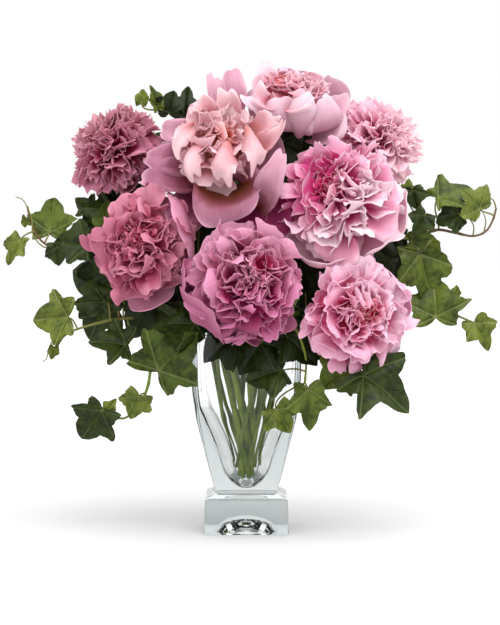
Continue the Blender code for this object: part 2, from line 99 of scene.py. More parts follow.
# Ivy stems: angle at which one passes the rim, and its path from there.
VINES = {
    "left_upper": (165, ((-60, 18, 213), (-98, 20, 246), (-140, 10, 268), (-168, 4, 277), (-191, 0, 281),
                         (-206, -4, 291), (-214, -6, 307), (-218, -7, 324))),
    "left_middle": (192, ((-61, -12, 212), (-92, -16, 213), (-126, -20, 212), (-158, -24, 205),
                          (-178, -26, 197), (-188, -27, 184))),
    "left_lower": (219, ((-44, -36, 206), (-62, -48, 205), (-80, -54, 190), (-92, -56, 168),
                         (-96, -56, 148), (-104, -56, 130), (-118, -55, 117), (-131, -54, 119),
                         (-136, -54, 125))),
    "right_upper": (22, ((60, 26, 212), (96, 24, 242), (140, 14, 268), (172, 6, 291), (190, 1, 300),
                         (209, -3, 297), (226, -5, 294), (239, -5, 299), (246, -5, 311), (249, -5, 322))),
    "right_middle": (-8, ((60, 3, 214), (88, 8, 234), (126, 4, 255), (160, 4, 262), (188, 4, 240),
                          (206, 0, 218), (226, -4, 208))),
    "right_lower": (-30, ((60, -22, 210), (75, -20, 194), (92, -30, 166), (104, -50, 152),
                          (112, -60, 149), (124, -66, 146))),
    "front": (-62, ((34, -46, 204), (46, -60, 205), (53, -66, 194), (58, -66, 174), (57, -66, 152))),
    "back": (118, ((-18, 64, 258), (-34, 74, 330), (-56, 60, 392), (-68, 46, 420))),
    "back_right": (70, ((24, 66, 240), (50, 96, 280), (72, 104, 318), (84, 106, 342))),
}


# --- vectors and curves ---------------------------------------------------------------------------

def unit(v):
    """The vector, or each of an array of them, made one unit long."""
    v = np.asarray(v, float)
    return v / np.linalg.norm(v, axis=-1, keepdims=True)


def way(tilt, turn):
    """Unit vector at an angle from +Z, turned about it, in degrees."""
    tilt, turn = np.radians(tilt), np.radians(turn)
    return np.stack([np.sin(tilt) * np.cos(turn), np.sin(tilt) * np.sin(turn), np.cos(tilt)], axis=-1)


def ease(low, high, x):
    """0 below low, 1 above high, and a smooth step between."""
    t = np.clip((x - low) / (high - low), 0, 1)
    return t * t * (3 - 2 * t)


def smooth_path(knots, per_span):
    """Points on a smooth line through the knots."""
    p = np.array(knots, float)
    p = np.vstack([2 * p[0] - p[1], p, 2 * p[-1] - p[-2]])
    t = np.arange(per_span)[:, None] / per_span
    line = []
    for a, b, c, d in zip(p, p[1:], p[2:], p[3:]):
        line.append(0.5 * (2 * b + (c - a) * t + (2 * a - 5 * b + 4 * c - d) * t**2
                           + (3 * b - 3 * c + d - a) * t**3))
    return np.vstack([*line, p[-2:-1]])


def smooth_rise(knots, heights):
    """Values at some heights of a curve through the knots that never swings past them."""
    x, y = np.array(knots, float).T
    step = np.diff(x)
    slope = np.diff(y) / step
    lead = np.zeros_like(y)
    same = slope[1:] * slope[:-1] > 0
    lead[1:-1][same] = 2 / (1 / slope[1:][same] + 1 / slope[:-1][same])
    lead[0], lead[-1] = slope[0], slope[-1]
    k = np.clip(np.searchsorted(x, heights) - 1, 0, len(step) - 1)
    t = (heights - x[k]) / step[k]
    return ((1 + 2 * t) * (1 - t) ** 2 * y[k] + t * (1 - t) ** 2 * step[k] * lead[k]
            + t * t * (3 - 2 * t) * y[k + 1] + t * t * (t - 1) * step[k] * lead[k + 1])


def bezier(a, b, c, d, t):
    """Places and directions on a curve from a to d, at the shares t."""
    t = t[..., None]
    k = 1 - t
    place = k**3 * a + 3 * k * k * t * b + 3 * k * t * t * c + t**3 * d
    lead = k * k * (b - a) + 2 * k * t * (c - b) + t * t * (d - c)
    return place, unit(lead)


def arch(a, b, c, t):
    """Places on a curve from a to c that is pulled towards b, at the shares t."""
    t = t[..., None]
    return (1 - t) ** 2 * a + 2 * t * (1 - t) * b + t**2 * c


def on_ring(radius, degrees, z):
    """A point on a level ring round the middle of the vase."""
    a = math.radians(degrees)
    return np.array((radius * math.cos(a), radius * math.sin(a), z))


def ripple(rng, u, v, waves, low=1.5, high=6.0):
    """A smooth random field on a petal, about -1 to 1."""
    total = np.zeros(np.broadcast(u, v).shape)
    for _ in range(waves):
        a, b = rng.uniform(low, high, 2) * rng.choice((-1, 1), 2)
        total += np.sin(a * u + b * v + rng.uniform(0, 2 * math.pi))
    return total / waves**0.5


# --- meshes ---------------------------------------------------------------------------------------

RIM_CREASE = 66       # degrees between faces from which an edge of a sheet, or of the glass, is crisp
GLASS_CREASE = 30
TUBE_TIP = 0.02       # what is left of a tube's radius at its ends


class Sheets:
    """Curved grids gathered into one mesh. Each point also keeps facts that its material reads."""

    def __init__(self, *facts):
        self.grids = []
        self.faces = []
        self.facts = {fact: [] for fact in facts}
        self.count = 0

    def add(self, grid, wrap=False, ends=0, **facts):
        """A grid; wrap joins its last column to its first, and ends is how many of its ends are filled."""
        rows, columns = grid.shape[:2]
        number = self.count + np.arange(rows * columns).reshape(rows, columns)
        if ends > 0:
            self.faces.append(number[0, ::-1].tolist())
        if ends > 1:
            self.faces.append(number[-1].tolist())
        if wrap:
            number = np.hstack([number, number[:, :1]])
        corners = (number[:-1, :-1], number[:-1, 1:], number[1:, 1:], number[1:, :-1])
        self.faces += np.stack(corners, axis=-1).reshape(-1, 4).tolist()
        self.grids.append(grid.reshape(-1, 3))
        for fact, values in self.facts.items():
            values.append(np.broadcast_to(facts.get(fact, 0.0), (rows, columns)).reshape(-1))
        self.count += rows * columns

    def mesh(self, name):
        """The sheets as one smooth mesh, in metres, with their facts as attributes."""
        mesh = bpy.data.meshes.new(name)
        mesh.from_pydata((np.vstack(self.grids) * MM).tolist(), [], self.faces)
        for fact, values in self.facts.items():
            layer = mesh.attributes.new(fact, "FLOAT", "POINT")
            layer.data.foreach_set("value", np.concatenate(values).astype(np.float32))
        mesh.shade_smooth()
        return mesh


def add_piece(name, sheets, finish, replaced=(), thickness=None):
    """Puts sheets in the scene as a piece of the part, in place of some of the solids."""
    mesh = sheets.mesh(name)
    mesh.materials.append(finish)
    piece = bpy.data.objects.new(name, mesh)
    bpy.context.scene.collection.objects.link(piece)
    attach(piece, "root")
    if replaced:
        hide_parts(*replaced)
    if thickness:
        thicken(piece, thickness)
    return piece


def thicken(piece, thickness):
    """Gives a sheet its thickness, and keeps the edge of its thin rim crisp."""
    solid = piece.modifiers.new("thickness", "SOLIDIFY")
    solid.thickness = thickness * MM
    solid.offset = 0.0
    graph = bpy.context.evaluated_depsgraph_get()
    mesh = bpy.data.meshes.new_from_object(piece.evaluated_get(graph))
    piece.modifiers.clear()
    mesh.set_sharp_from_angle(angle=math.radians(RIM_CREASE))
    piece.data = mesh


def round_tube(line, radii, sides):
    """Rings round a line, as a grid that wraps, drawn in to a point at both ends."""
    line = np.asarray(line, float)
    lead = unit(np.gradient(line, axis=0))
    across = np.zeros_like(line)
    guess = np.cross(lead[0], (0.3, 0.2, 0.93))
    for i, step in enumerate(lead):
        guess = unit(guess - step * guess.dot(step))
        across[i] = guess
    up = np.cross(lead, across)
    angle = np.linspace(0, 2 * math.pi, sides, endpoint=False)
    ring = across[:, None] * np.cos(angle)[:, None] + up[:, None] * np.sin(angle)[:, None]
    grid = line[:, None] + ring * np.asarray(radii, float)[:, None, None]
    tips = [np.broadcast_to(line[end], (1, sides, 3)) for end in (0, -1)]
    return np.vstack([tips[0] + (grid[:1] - tips[0]) * TUBE_TIP, grid,
                      tips[1] + (grid[-1:] - tips[1]) * TUBE_TIP])


def add_tube(name, line, radii, sides, finish, replaced=()):
    """A round piece along a line."""
    sheets = Sheets()
    sheets.add(round_tube(line, radii, sides), wrap=True, ends=2)
    add_piece(name, sheets, finish, replaced)


# --- materials ------------------------------------------------------------------------------------

THROUGH_PETAL = 0.38      # share of the light that comes through a petal or a leaf
THROUGH_LEAF = 0.16
# Stems: two greens, the flecks, and the colour above the vase where that is another one.
STALK_COLORS = {
    "peony_stem": ((84, 114, 8), (144, 164, 48), (42, 60, 6)),
    "leaf_stalk": ((104, 96, 46), (124, 126, 60), (112, 54, 42)),
    "ivy_vine": ((88, 112, 16), (118, 136, 40), (84, 62, 36), (118, 92, 56)),
}


def rgb(*color):
    """A colour given as on a screen, 0 to 255, as the shader takes it."""
    return (*(((c / 255 + 0.055) / 1.055) ** 2.4 if c > 10 else c / 3295 for c in color), 1.0)


def rgbs(colors):
    """Several such colours."""
    return [rgb(*color) for color in colors]


class Finish:
    """A material, with short ways to add the nodes that it is made of."""

    def __init__(self, name):
        self.material = bpy.data.materials.new(name)
        self.material.use_nodes = True
        self.tree = self.material.node_tree
        self.tree.nodes.clear()

    def node(self, kind, inputs=(), **settings):
        """Adds a node with its inputs, which are values or outputs of other nodes."""
        made = self.tree.nodes.new(kind)
        for key, value in settings.items():
            setattr(made, key, value)
        for key, value in dict(inputs).items():
            self.feed(made.inputs[key], value)
        return made

    def feed(self, socket, value):
        if isinstance(value, bpy.types.NodeSocket):
            self.tree.links.new(value, socket)
        else:
            socket.default_value = value

    def fact(self, name):
        """A fact that the mesh keeps at each of its points."""
        return self.node("ShaderNodeAttribute", attribute_name=name).outputs["Fac"]

    def calc(self, operation, a, b=0.0):
        return self.node("ShaderNodeMath", {0: a, 1: b}, operation=operation).outputs[0]

    def times(self, a, b):
        return self.calc("MULTIPLY", a, b)

    def plus(self, a, b):
        return self.calc("ADD", a, b)

    def minus(self, a, b):
        return self.calc("SUBTRACT", a, b)

    def mix(self, factor, a, b):
        """The colour a, turning into b as the factor rises to 1."""
        return self.node("ShaderNodeMix", {0: factor, 6: a, 7: b}, data_type="RGBA").outputs[2]

    def ramp(self, factor, *stops):
        """A colour that passes through the stops, each a position and a colour."""
        made = self.node("ShaderNodeValToRGB", {"Fac": factor})
        bar = made.color_ramp.elements
        while len(bar) < len(stops):
            bar.new(1.0)
        for element, (position, color) in zip(bar, stops):
            element.position = position
            element.color = color
        return made.outputs["Color"]

    def between(self, value, low, high):
        """0 where value is low, 1 where it is high, and smooth between."""
        made = self.node("ShaderNodeMapRange", {"Value": value, "From Min": low, "From Max": high},
                         interpolation_type="SMOOTHSTEP")
        return made.outputs["Result"]

    def spread(self, value, low, high):
        """The value, from 0 to 1, spread between low and high."""
        made = self.node("ShaderNodeMapRange", {"Value": value, "To Min": low, "To Max": high})
        return made.outputs[0]

    def place(self):
        """Where a spot is on the piece, in metres."""
        return self.node("ShaderNodeTexCoord").outputs["Object"]

    def noise(self, scale, detail=3.0, vector=None):
        """Cloudy noise; the larger the scale, the finer it is."""
        vector = vector or self.place()
        made = self.node("ShaderNodeTexNoise", {"Vector": vector, "Scale": scale, "Detail": detail})
        return made.outputs["Fac"]

    def bump(self, height, strength, distance):
        """Relief on the surface; the distance is in millimetres."""
        made = self.node("ShaderNodeBump", {"Height": height, "Strength": strength,
                                            "Distance": distance * MM})
        return made.outputs["Normal"]

    def surface(self, color, roughness, normal, through=0.0, through_color=None, **constants):
        """The shader: a soft gloss, and for a thin piece some of the light from behind it."""
        inputs = {"Base Color": color, "Roughness": roughness, "Normal": normal}
        for key, value in constants.items():
            inputs[key.replace("_", " ")] = value
        shader = self.node("ShaderNodeBsdfPrincipled", inputs)
        if through:
            glow = self.node("ShaderNodeBsdfTranslucent", {"Color": through_color or color,
                                                           "Normal": normal})
            lit = {0: through, 1: shader.outputs[0], 2: glow.outputs[0]}
            shader = self.node("ShaderNodeMixShader", lit)
        self.node("ShaderNodeOutputMaterial", {"Surface": shader.outputs[0]})
        return self.material


def petal_finish(name, colors, streak=0.3, edge=0.42):
    """Petals: deep colour down inside (partly painted shade), paler up to the tips, with fine veins along
    each petal.
    """
    f = Finish(name)
    deep, body, tip, pale, heart = rgbs(colors)
    tone = f.fact("tone")
    along = f.fact("along")
    patches = f.noise(70.0, 4.0)
    # How high in the bloom a spot is sets its colour: deep inside partly as painted shade, paler up to the
    # tips.
    level = f.plus(f.fact("height"), f.times(tone, 0.07))
    level = f.plus(level, f.times(f.minus(patches, 0.5), 0.28))
    color = f.ramp(level, (0.42, deep), (0.74, body), (0.97, tip))
    color = f.mix(f.times(f.fact("blush"), f.between(level, 0.55, 0.95)), color, pale)
    # The heart colour: the bloom's coloured heart on its petals, painted shade on the dusky free-standing
    # petals.
    color = f.mix(f.fact("heart"), color, heart)
    vein_place = f.node("ShaderNodeCombineXYZ", {
        0: f.times(f.fact("across"), 9.0), 1: f.times(along, 1.3), 2: f.times(tone, 37.0)})
    veins = f.noise(2.2, 3.0, vein_place.outputs[0])
    color = f.mix(f.times(f.between(veins, 0.48, 0.72), streak), color, body)
    color = f.mix(f.times(f.between(along, 0.88, 1.0), edge), color, pale)
    relief = f.plus(veins, f.times(patches, 0.8))
    return f.surface(color, f.spread(veins, 0.5, 0.72), f.bump(relief, 0.35, 0.7), THROUGH_PETAL,
                     Specular_IOR_Level=0.2, Sheen_Weight=0.08, Sheen_Roughness=0.4)


def leaf_finish(name, colors, ribs):
    """A leaf: darker between its pale veins, blotched, with a soft waxy gloss."""
    f = Finish(name)
    dark, light, vein = rgbs(colors)
    x, y = f.fact("leaf_x"), f.fact("leaf_y")
    blotch = f.noise(60.0, 4.0)
    cells = f.noise(210.0, 3.0)
    patches = f.plus(f.times(blotch, 0.6), f.times(cells, 0.4))
    color = f.mix(f.between(patches, 0.36, 0.62), dark, light)
    near = 99.0
    side = 0.0
    for rib_x, rib_y in ribs:
        length = math.hypot(rib_x, rib_y)
        rx, ry = rib_x / length, rib_y / length
        run = f.plus(f.times(x, rx), f.times(y, ry))
        off = f.calc("ABSOLUTE", f.minus(f.times(x, ry), f.times(y, rx)))
        off = f.plus(off, f.times(f.calc("LESS_THAN", run, 0.0), 9.0))
        slant = f.minus(run, f.times(off, 0.75))
        branch = f.calc("ABSOLUTE", f.calc("SINE", f.times(slant, 24.0)))
        closer = f.calc("LESS_THAN", off, near)
        side = f.plus(f.times(branch, closer), f.times(side, f.minus(1.0, closer)))
        near = f.calc("MINIMUM", near, off)
    main_veins = f.minus(1.0, f.between(near, 0.006, 0.028))
    branches = f.times(f.minus(1.0, f.between(side, 0.0, 0.35)), 0.34)
    veins = f.calc("MAXIMUM", main_veins, branches)
    color = f.mix(f.times(veins, 0.5), color, vein)
    fine = f.noise(420.0, 3.0)
    relief = f.minus(f.times(fine, 0.25), f.times(veins, 0.5))
    return f.surface(color, f.spread(fine, 0.36, 0.56), f.bump(relief, 0.5, 0.6), THROUGH_LEAF,
                     f.mix(0.5, color, light), Specular_IOR_Level=0.22)


def stalk_finish(name):
    """A stem: streaked along its length, with darker flecks, and maybe another colour above the vase."""
    f = Finish(name)
    low, high, fleck, *above = rgbs(STALK_COLORS[name])
    drawn_out = f.node("ShaderNodeMapping", {"Vector": f.place(), "Scale": (1.0, 1.0, 0.12)})
    streaks = f.noise(140.0, 4.0, drawn_out.outputs[0])
    patches = f.noise(35.0, 3.0)
    color = f.mix(f.between(patches, 0.35, 0.68), low, high)
    color = f.mix(f.times(f.between(streaks, 0.5, 0.75), 0.55), color, fleck)
    if above:
        height = f.node("ShaderNodeSeparateXYZ", {0: f.place()}).outputs["Z"]
        height = f.plus(height, f.times(patches, 0.02))
        color = f.mix(f.between(height, 0.19, 0.25), color, f.mix(patches, above[0], fleck))
    return f.surface(color, f.spread(streaks, 0.38, 0.62), f.bump(streaks, 0.35, 0.5),
                     Specular_IOR_Level=0.4)


def glass_finish(name):
    """Clear glass, faintly green where it is thick, with the slightest waviness."""
    f = Finish(name)
    wave = f.bump(f.noise(26.0, 1.0), 0.05, 0.6)
    shader = f.node("ShaderNodeBsdfPrincipled", {
        "Base Color": (0.985, 0.99, 0.99, 1.0), "Roughness": 0.0, "IOR": 1.5,
        "Transmission Weight": 1.0, "Specular Tint": (0.45, 0.45, 0.45, 1.0), "Normal": wave})
    depth = f.node("ShaderNodeVolumeAbsorption", {"Color": (0.60, 0.67, 0.67, 1.0), "Density": 11.5})
    f.node("ShaderNodeOutputMaterial", {"Surface": shader.outputs[0], "Volume": depth.outputs[0]})
    return f.material


# --- the peonies ----------------------------------------------------------------------------------

PETAL_T = 0.4
OUTER_T = 0.6         # thickness of the broad outer petals and of the sepals
CORE = 0.5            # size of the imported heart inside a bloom, as a share of the bloom
LEAN = 6.0            # how softly petals flatten where two blooms lean together
MOST_COLUMNS = 13     # of points across a petal
LOBE_ROLL = 3.0       # how far the rims of a crown's lobes roll back
SEPALS = 5
GOLDEN_ANGLE = 137.508
PETAL_SEED = 11       # each bloom takes the next seed
SEPAL_SEED = 411
PETAL_FACTS = ("along", "across", "tone", "height", "heart", "blush")


class Bloom:
    """One peony in its own frame: +Z is the way it faces, +X is to its side and +Y up."""

    def __init__(self, name):
        at, face, self.half, self.deep, self.rim_angle, self.path = PEONIES[name]
        self.name = name
        self.centre = np.array(at, float)
        axis = unit(face)
        side = unit(np.cross(UP, axis))
        self.turn = np.stack([side, np.cross(axis, side), axis], axis=1)
        self.walls = []

    def reach(self, ways):
        """How far the bloom reaches along unit vectors in its own frame."""
        deep = np.where(ways[..., 2] > 0, *self.deep)
        across = (ways[..., 0] / self.half[0]) ** 2 + (ways[..., 1] / self.half[1]) ** 2
        far = 1 / np.sqrt(across + (ways[..., 2] / deep) ** 2)
        for distance, normal in self.walls:
            lean = np.maximum(ways @ normal, 1e-6)
            far = np.minimum(far, distance / lean)
        return far

    def soften(self, spots):
        """Presses spots that pass a neighbouring bloom back to where the two lean together."""
        for distance, normal in self.walls:
            past = spots @ normal - distance
            over = np.maximum(past + LEAN, 0)
            pressed = np.where(over > 0, LEAN * np.tanh(over / LEAN) - LEAN, past)
            spots = spots + (pressed - past)[..., None] * normal
        return spots

    def world(self, spots):
        """Spots in the bloom's own frame, as places in the scene's."""
        return self.centre + spots @ self.turn.T

    def back(self):
        """The middle of the back of the bloom, where its stem ends."""
        return self.world(-UP * self.reach(-UP))


def lean_together(blooms):
    """Puts a wall between each two blooms that would grow into each other."""
    for i, a in enumerate(blooms):
        for b in blooms[i + 1:]:
            apart = b.centre - a.centre
            span = np.linalg.norm(apart)
            out = apart / span
            reach_a = a.reach(a.turn.T @ out)
            reach_b = b.reach(b.turn.T @ -out)
            if reach_a + reach_b > span:
                share = span * reach_a / (reach_a + reach_b)
                a.walls.append((share, a.turn.T @ out))
                b.walls.append((span - share, b.turn.T @ -out))


class Habit:
    """How a bloom's petals grow: how many, out to which tilt, what they are like at the heart and at the
    skirt, rows of points on each, the ways of the hubs that its whorls face, the way and width of its
    coloured heart, the turn and strength of its paler side, how much petals crowd towards the heart, and
    how hollow the heart is."""

    fields = ("wide", "root", "bend", "curl", "cup", "ruffle", "frill", "notch", "length", "stray")

    def __init__(self, count, tilt, heart, skirt, rows, hubs, heart_way, heart_size, blush_turn, blush,
                 crowd, hollow=0.0):
        self.count = count
        self.tilt = tilt
        self.heart = dict(zip(self.fields, heart))
        self.skirt = dict(zip(self.fields, skirt))
        self.rows = rows
        self.columns = min(rows, MOST_COLUMNS)
        self.hubs = np.array([way(*hub) for hub in hubs])
        self.heart_way = way(*heart_way)
        self.heart_size = heart_size
        self.blush_turn = blush_turn
        self.blush = blush
        self.crowd = crowd
        self.hollow = hollow

    def at(self, share):
        """The values some share of the way from the heart to the skirt."""
        return {k: self.heart[k] + (self.skirt[k] - self.heart[k]) * share for k in self.fields}


def petal_facts(bloom, habit, spots):
    """How high in the bloom each spot is (low spots take the deep colour, partly painted shade), how near
    its heart, and how far on its paler side.
    """
    far = np.linalg.norm(spots, axis=-1)
    ways = spots / np.maximum(far, 1e-6)[..., None]
    height = far / bloom.reach(ways)
    near = np.degrees(np.arccos(np.clip(ways @ habit.heart_way, -1, 1)))
    heart = (1 - ease(0.35 * habit.heart_size, habit.heart_size, near)) * (1 - ease(0.55, 1.0, height))
    blush = np.clip(0.5 + 0.9 * ways @ way(90, habit.blush_turn), 0, 1) * habit.blush
    return {"height": height, "heart": heart, "blush": blush}


def crumple(rng, grow, u, v):
    """How far a petal's surface stands off its plain cupped shape, as a share of its half width."""
    high = ease(0.2, 1.0, v)
    phase = rng.uniform(0, 2 * math.pi, 3)
    waves = np.sin(rng.uniform(0.7, 1.6) * math.pi * u + phase[0] + 1.2 * v)
    frill = np.sin(rng.uniform(3.0, 6.0) * math.pi * u + phase[1] + 2 * v)
    fold = ripple(rng, u, v, 3, 1.2, 4.0)
    return high * grow["ruffle"] * (0.7 * waves + 0.5 * fold) + grow["frill"] * ease(0.7, 1, v) * frill


def shares(rows, columns):
    """Shares of a sheet: u from -1 to 1 across it, and v from 0 at its foot to 1 at its tip."""
    return np.linspace(-1, 1, columns)[None, :], np.linspace(0, 1, rows)[:, None]


def dents(rng, u, fewest, most):
    """Dents along a petal's tip, 0 to 1 deep."""
    return (0.5 + 0.5 * np.sin(rng.uniform(fewest, most) * math.pi * u + rng.uniform(0, 6))) ** 2


def widening(v, foot, full, power):
    """A petal's width from its foot up, as a share of its full width, which it reaches at full."""
    return foot + (1 - foot) * np.sin(0.5 * math.pi * np.minimum(1, v / full) ** power)


def cupped(width, u, cup):
    """How far aside and how high each spot of a sheet lies when it is bent by cup radians each way."""
    return width * np.sin(u * cup) / cup, width * (1 - np.cos(u * cup)) / cup


def petal_sheet(rng, grow, bloom, upper, hub, rows, columns):
    """One petal from deep in the bloom out to its surface, facing the hub of its whorl, as a grid."""
    u, v = shares(rows, columns)
    tilt = math.acos(np.clip(upper @ hub, -1, 0.999))
    out = unit(upper - hub * (upper @ hub))

    def lean(angle):
        return hub * math.cos(angle) + out * math.sin(angle)

    lower = lean(tilt * 0.8 + rng.normal(0, 0.06))
    root = lower * bloom.reach(lower) * grow["root"]
    tip = upper * bloom.reach(upper) * grow["length"] * rng.uniform(0.88, 1.06)
    length = np.linalg.norm(tip - root)
    start = lean(tilt + math.radians(grow["bend"]))
    end = lean(tilt - math.radians(grow["curl"] + grow["stray"] * np.clip(rng.normal(), -1.5, 1.5)))
    short = 0.34 * np.abs(u) ** 2.8 * v**2 + grow["notch"] * dents(rng, u, 1.5, 4.5) * v**4
    place, lead = bezier(root, root + start * length * 0.42, tip - end * length * 0.36, tip, v - short)
    side = unit(np.cross(hub, out) + out * rng.normal(0, 0.2 + 0.01 * grow["stray"]))
    twist = rng.normal(0, 0.34) * v + rng.normal(0, 0.18)
    face = unit(np.cross(lead, side))
    across = side * np.cos(twist)[..., None] + face * np.sin(twist)[..., None]
    face = unit(np.cross(lead, across))
    half = grow["wide"] * rng.choice((0.6, 0.85, 1.0, 1.2, 1.5))
    aside, rise = cupped(half * widening(v, 0.36, 0.74, 0.8), u, grow["cup"] * rng.uniform(0.5, 1.5))
    rise = rise + half * crumple(rng, grow, u, v)
    return bloom.soften(place + across * aside[..., None] + face * rise[..., None]), u, v


def add_petals(bloom, habit, sheets, rng):
    """Petals in a spiral from the heart of the bloom out to its skirt, in whorls round several hubs."""
    spread = 1 - math.cos(math.radians(habit.tilt))
    for i in range(habit.count):
        share = ((i + 0.6) / habit.count) ** habit.crowd
        tilt = max(math.degrees(math.acos(1 - spread * share)) + rng.normal(0, 4), 2)
        grow = habit.at((tilt / habit.tilt) ** 0.9)
        upper = way(tilt, i * GOLDEN_ANGLE + rng.normal(0, 10))
        whorl = habit.hubs[np.argmax(habit.hubs @ upper)]
        hub = unit(whorl + (UP - whorl) * ease(30, 66, tilt))
        near = math.acos(np.clip(upper @ habit.heart_way, -1, 1)) / math.radians(habit.heart_size)
        grow["length"] *= 1 - habit.hollow * math.exp(-near * near)
        spots, u, v = petal_sheet(rng, grow, bloom, upper, hub, habit.rows, habit.columns)
        sheets.add(bloom.world(spots), along=v, across=u, tone=rng.uniform(-1, 1),
                   **petal_facts(bloom, habit, spots))


def add_core(bloom, habit, sheets):
    """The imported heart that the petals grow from, ridged like the bases of petals."""
    tilt = np.linspace(179, 1, 20)[:, None]
    turn = np.linspace(0, 360, 40, endpoint=False)[None, :]
    ways = way(tilt + 0 * turn, turn + 0 * tilt)
    ridge = 1 + 0.05 * np.sin(np.radians(7 * turn + 4 * tilt))
    ridge = ridge + 0.04 * np.sin(np.radians(11 * turn - 5 * tilt))
    spots = ways * (bloom.reach(ways) * CORE * ridge)[..., None]
    sheets.add(bloom.world(spots), wrap=True, ends=2, along=0.1, across=0.0, tone=0.0,
               **petal_facts(bloom, habit, spots))


def guard_sheet(bloom, turn, half_turn, foot_tilt, tip_tilt, stand_off, flare, ruffle, rng,
                notch=0.03, rows=22, columns=21):
    """A broad outer petal that wraps round the bloom from behind, standing off it towards its tip."""
    u, v = shares(rows, columns)
    y = v - 0.30 * np.abs(u) ** 2.4 * v**1.5 - notch * dents(rng, u, 2, 4) * v**4
    tilt = foot_tilt + (tip_tilt - foot_tilt) * y
    ways = way(tilt, turn + half_turn * u * widening(v, 0.34, 0.7, 0.9))
    off = stand_off * (ease(0.0, 0.75, v) + flare * ease(0.7, 1.0, v) - 0.16 * u * u * v)
    wave = ripple(rng, u * 1.2, v, 3, 1.0, 4.0) * ruffle * (0.9 + 2.6 * ease(0.4, 1, v))
    spots = ways * (bloom.reach(ways) * (0.97 + 0.03 * v) + off + wave)[..., None]
    return spots, u, v


def broad_sheet(foot, middle, tip, face, half, cup, roll, rng, wavy=0.1):
    """A broad petal along a curve through three points: cupped towards face, its rim rolled back."""
    u, v = shares(24, 23)
    foot, middle, tip, face = (np.array(p, float) for p in (foot, middle, tip, face))
    y = v - 0.38 * np.abs(u) ** 2.3 * v**1.4 - (0.02 + 0.3 * wavy) * dents(rng, u, 1.5, 3.5) * v**4
    pull = 2 * middle - 0.5 * (foot + tip)
    lead = unit((1 - y)[..., None] * (pull - foot) + y[..., None] * (tip - pull))
    across = unit(np.cross(lead, face))
    up = unit(np.cross(across, lead))
    aside, rise = cupped(half * widening(v, 0.3, 0.72, 0.85), u, cup)
    rolled = ease(0.62, 1.0, np.maximum(v, 0.9 * np.abs(u) * ease(0.2, 0.6, v)))
    wave = half * wavy * ripple(rng, u, v, 4, 1.0, 4.0) * (0.4 + 1.2 * ease(0.4, 1, v))
    rise = rise - roll * rolled**2 + wave
    return arch(foot, pull, tip, y) + across * aside[..., None] + up * rise[..., None], u, v


def add_sheet(sheets, spots, u, v, rng, start, heart, blush):
    """Adds a petal whose colour begins some way up the scale at its foot and reaches the top of it; heart
    mixes in the heart colour, which on the free-standing petals is painted shade.
    """
    sheets.add(spots, along=v, across=u, tone=rng.uniform(-1, 1), height=start + (1 - start) * v,
               heart=heart, blush=blush)


def add_lobes(bloom, sheets, rng):
    """The big lobes of a crown."""
    for shape in LOBES.get(bloom.name, ()):
        add_sheet(sheets, *broad_sheet(*shape, LOBE_ROLL, rng, wavy=0.4), rng, 0.55, 0.0, 0.5)


def add_outer_petals(bloom, sheets, rng):
    """The broad petals that wrap round a bloom, and those that stand free of it."""
    for guard in GUARDS[bloom.name]:
        spots, u, v = guard_sheet(bloom, *guard, rng)
        add_sheet(sheets, bloom.world(spots), u, v, rng, 0.35, 0.0, 0.3)
    # A free-standing petal's last value is painted shade, mixed in as its heart colour.
    for *shape, start, painted_shade in BROAD.get(bloom.name, ()):
        add_sheet(sheets, *broad_sheet(*shape, rng), rng, start, painted_shade, start)


def make_bloom(bloom, finish, outer_finish, seed):
    """The petals of one peony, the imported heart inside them, and its broad outer petals."""
    rng = np.random.default_rng(seed)
    habit = HABITS[bloom.name]
    name = f"peony_{bloom.name}"
    petals, core, outer = (Sheets(*PETAL_FACTS) for _ in range(3))
    add_petals(bloom, habit, petals, rng)
    add_lobes(bloom, petals, rng)
    add_piece(f"{name}_petals", petals, finish, [f"{name}_bloom"], PETAL_T)
    add_core(bloom, habit, core)
    add_piece(f"{name}_heart", core, finish)
    add_outer_petals(bloom, outer, rng)
    solids = [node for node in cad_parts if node.startswith(f"{name}_petal_")]
    add_piece(f"{name}_outer_petals", outer, outer_finish, solids, OUTER_T)


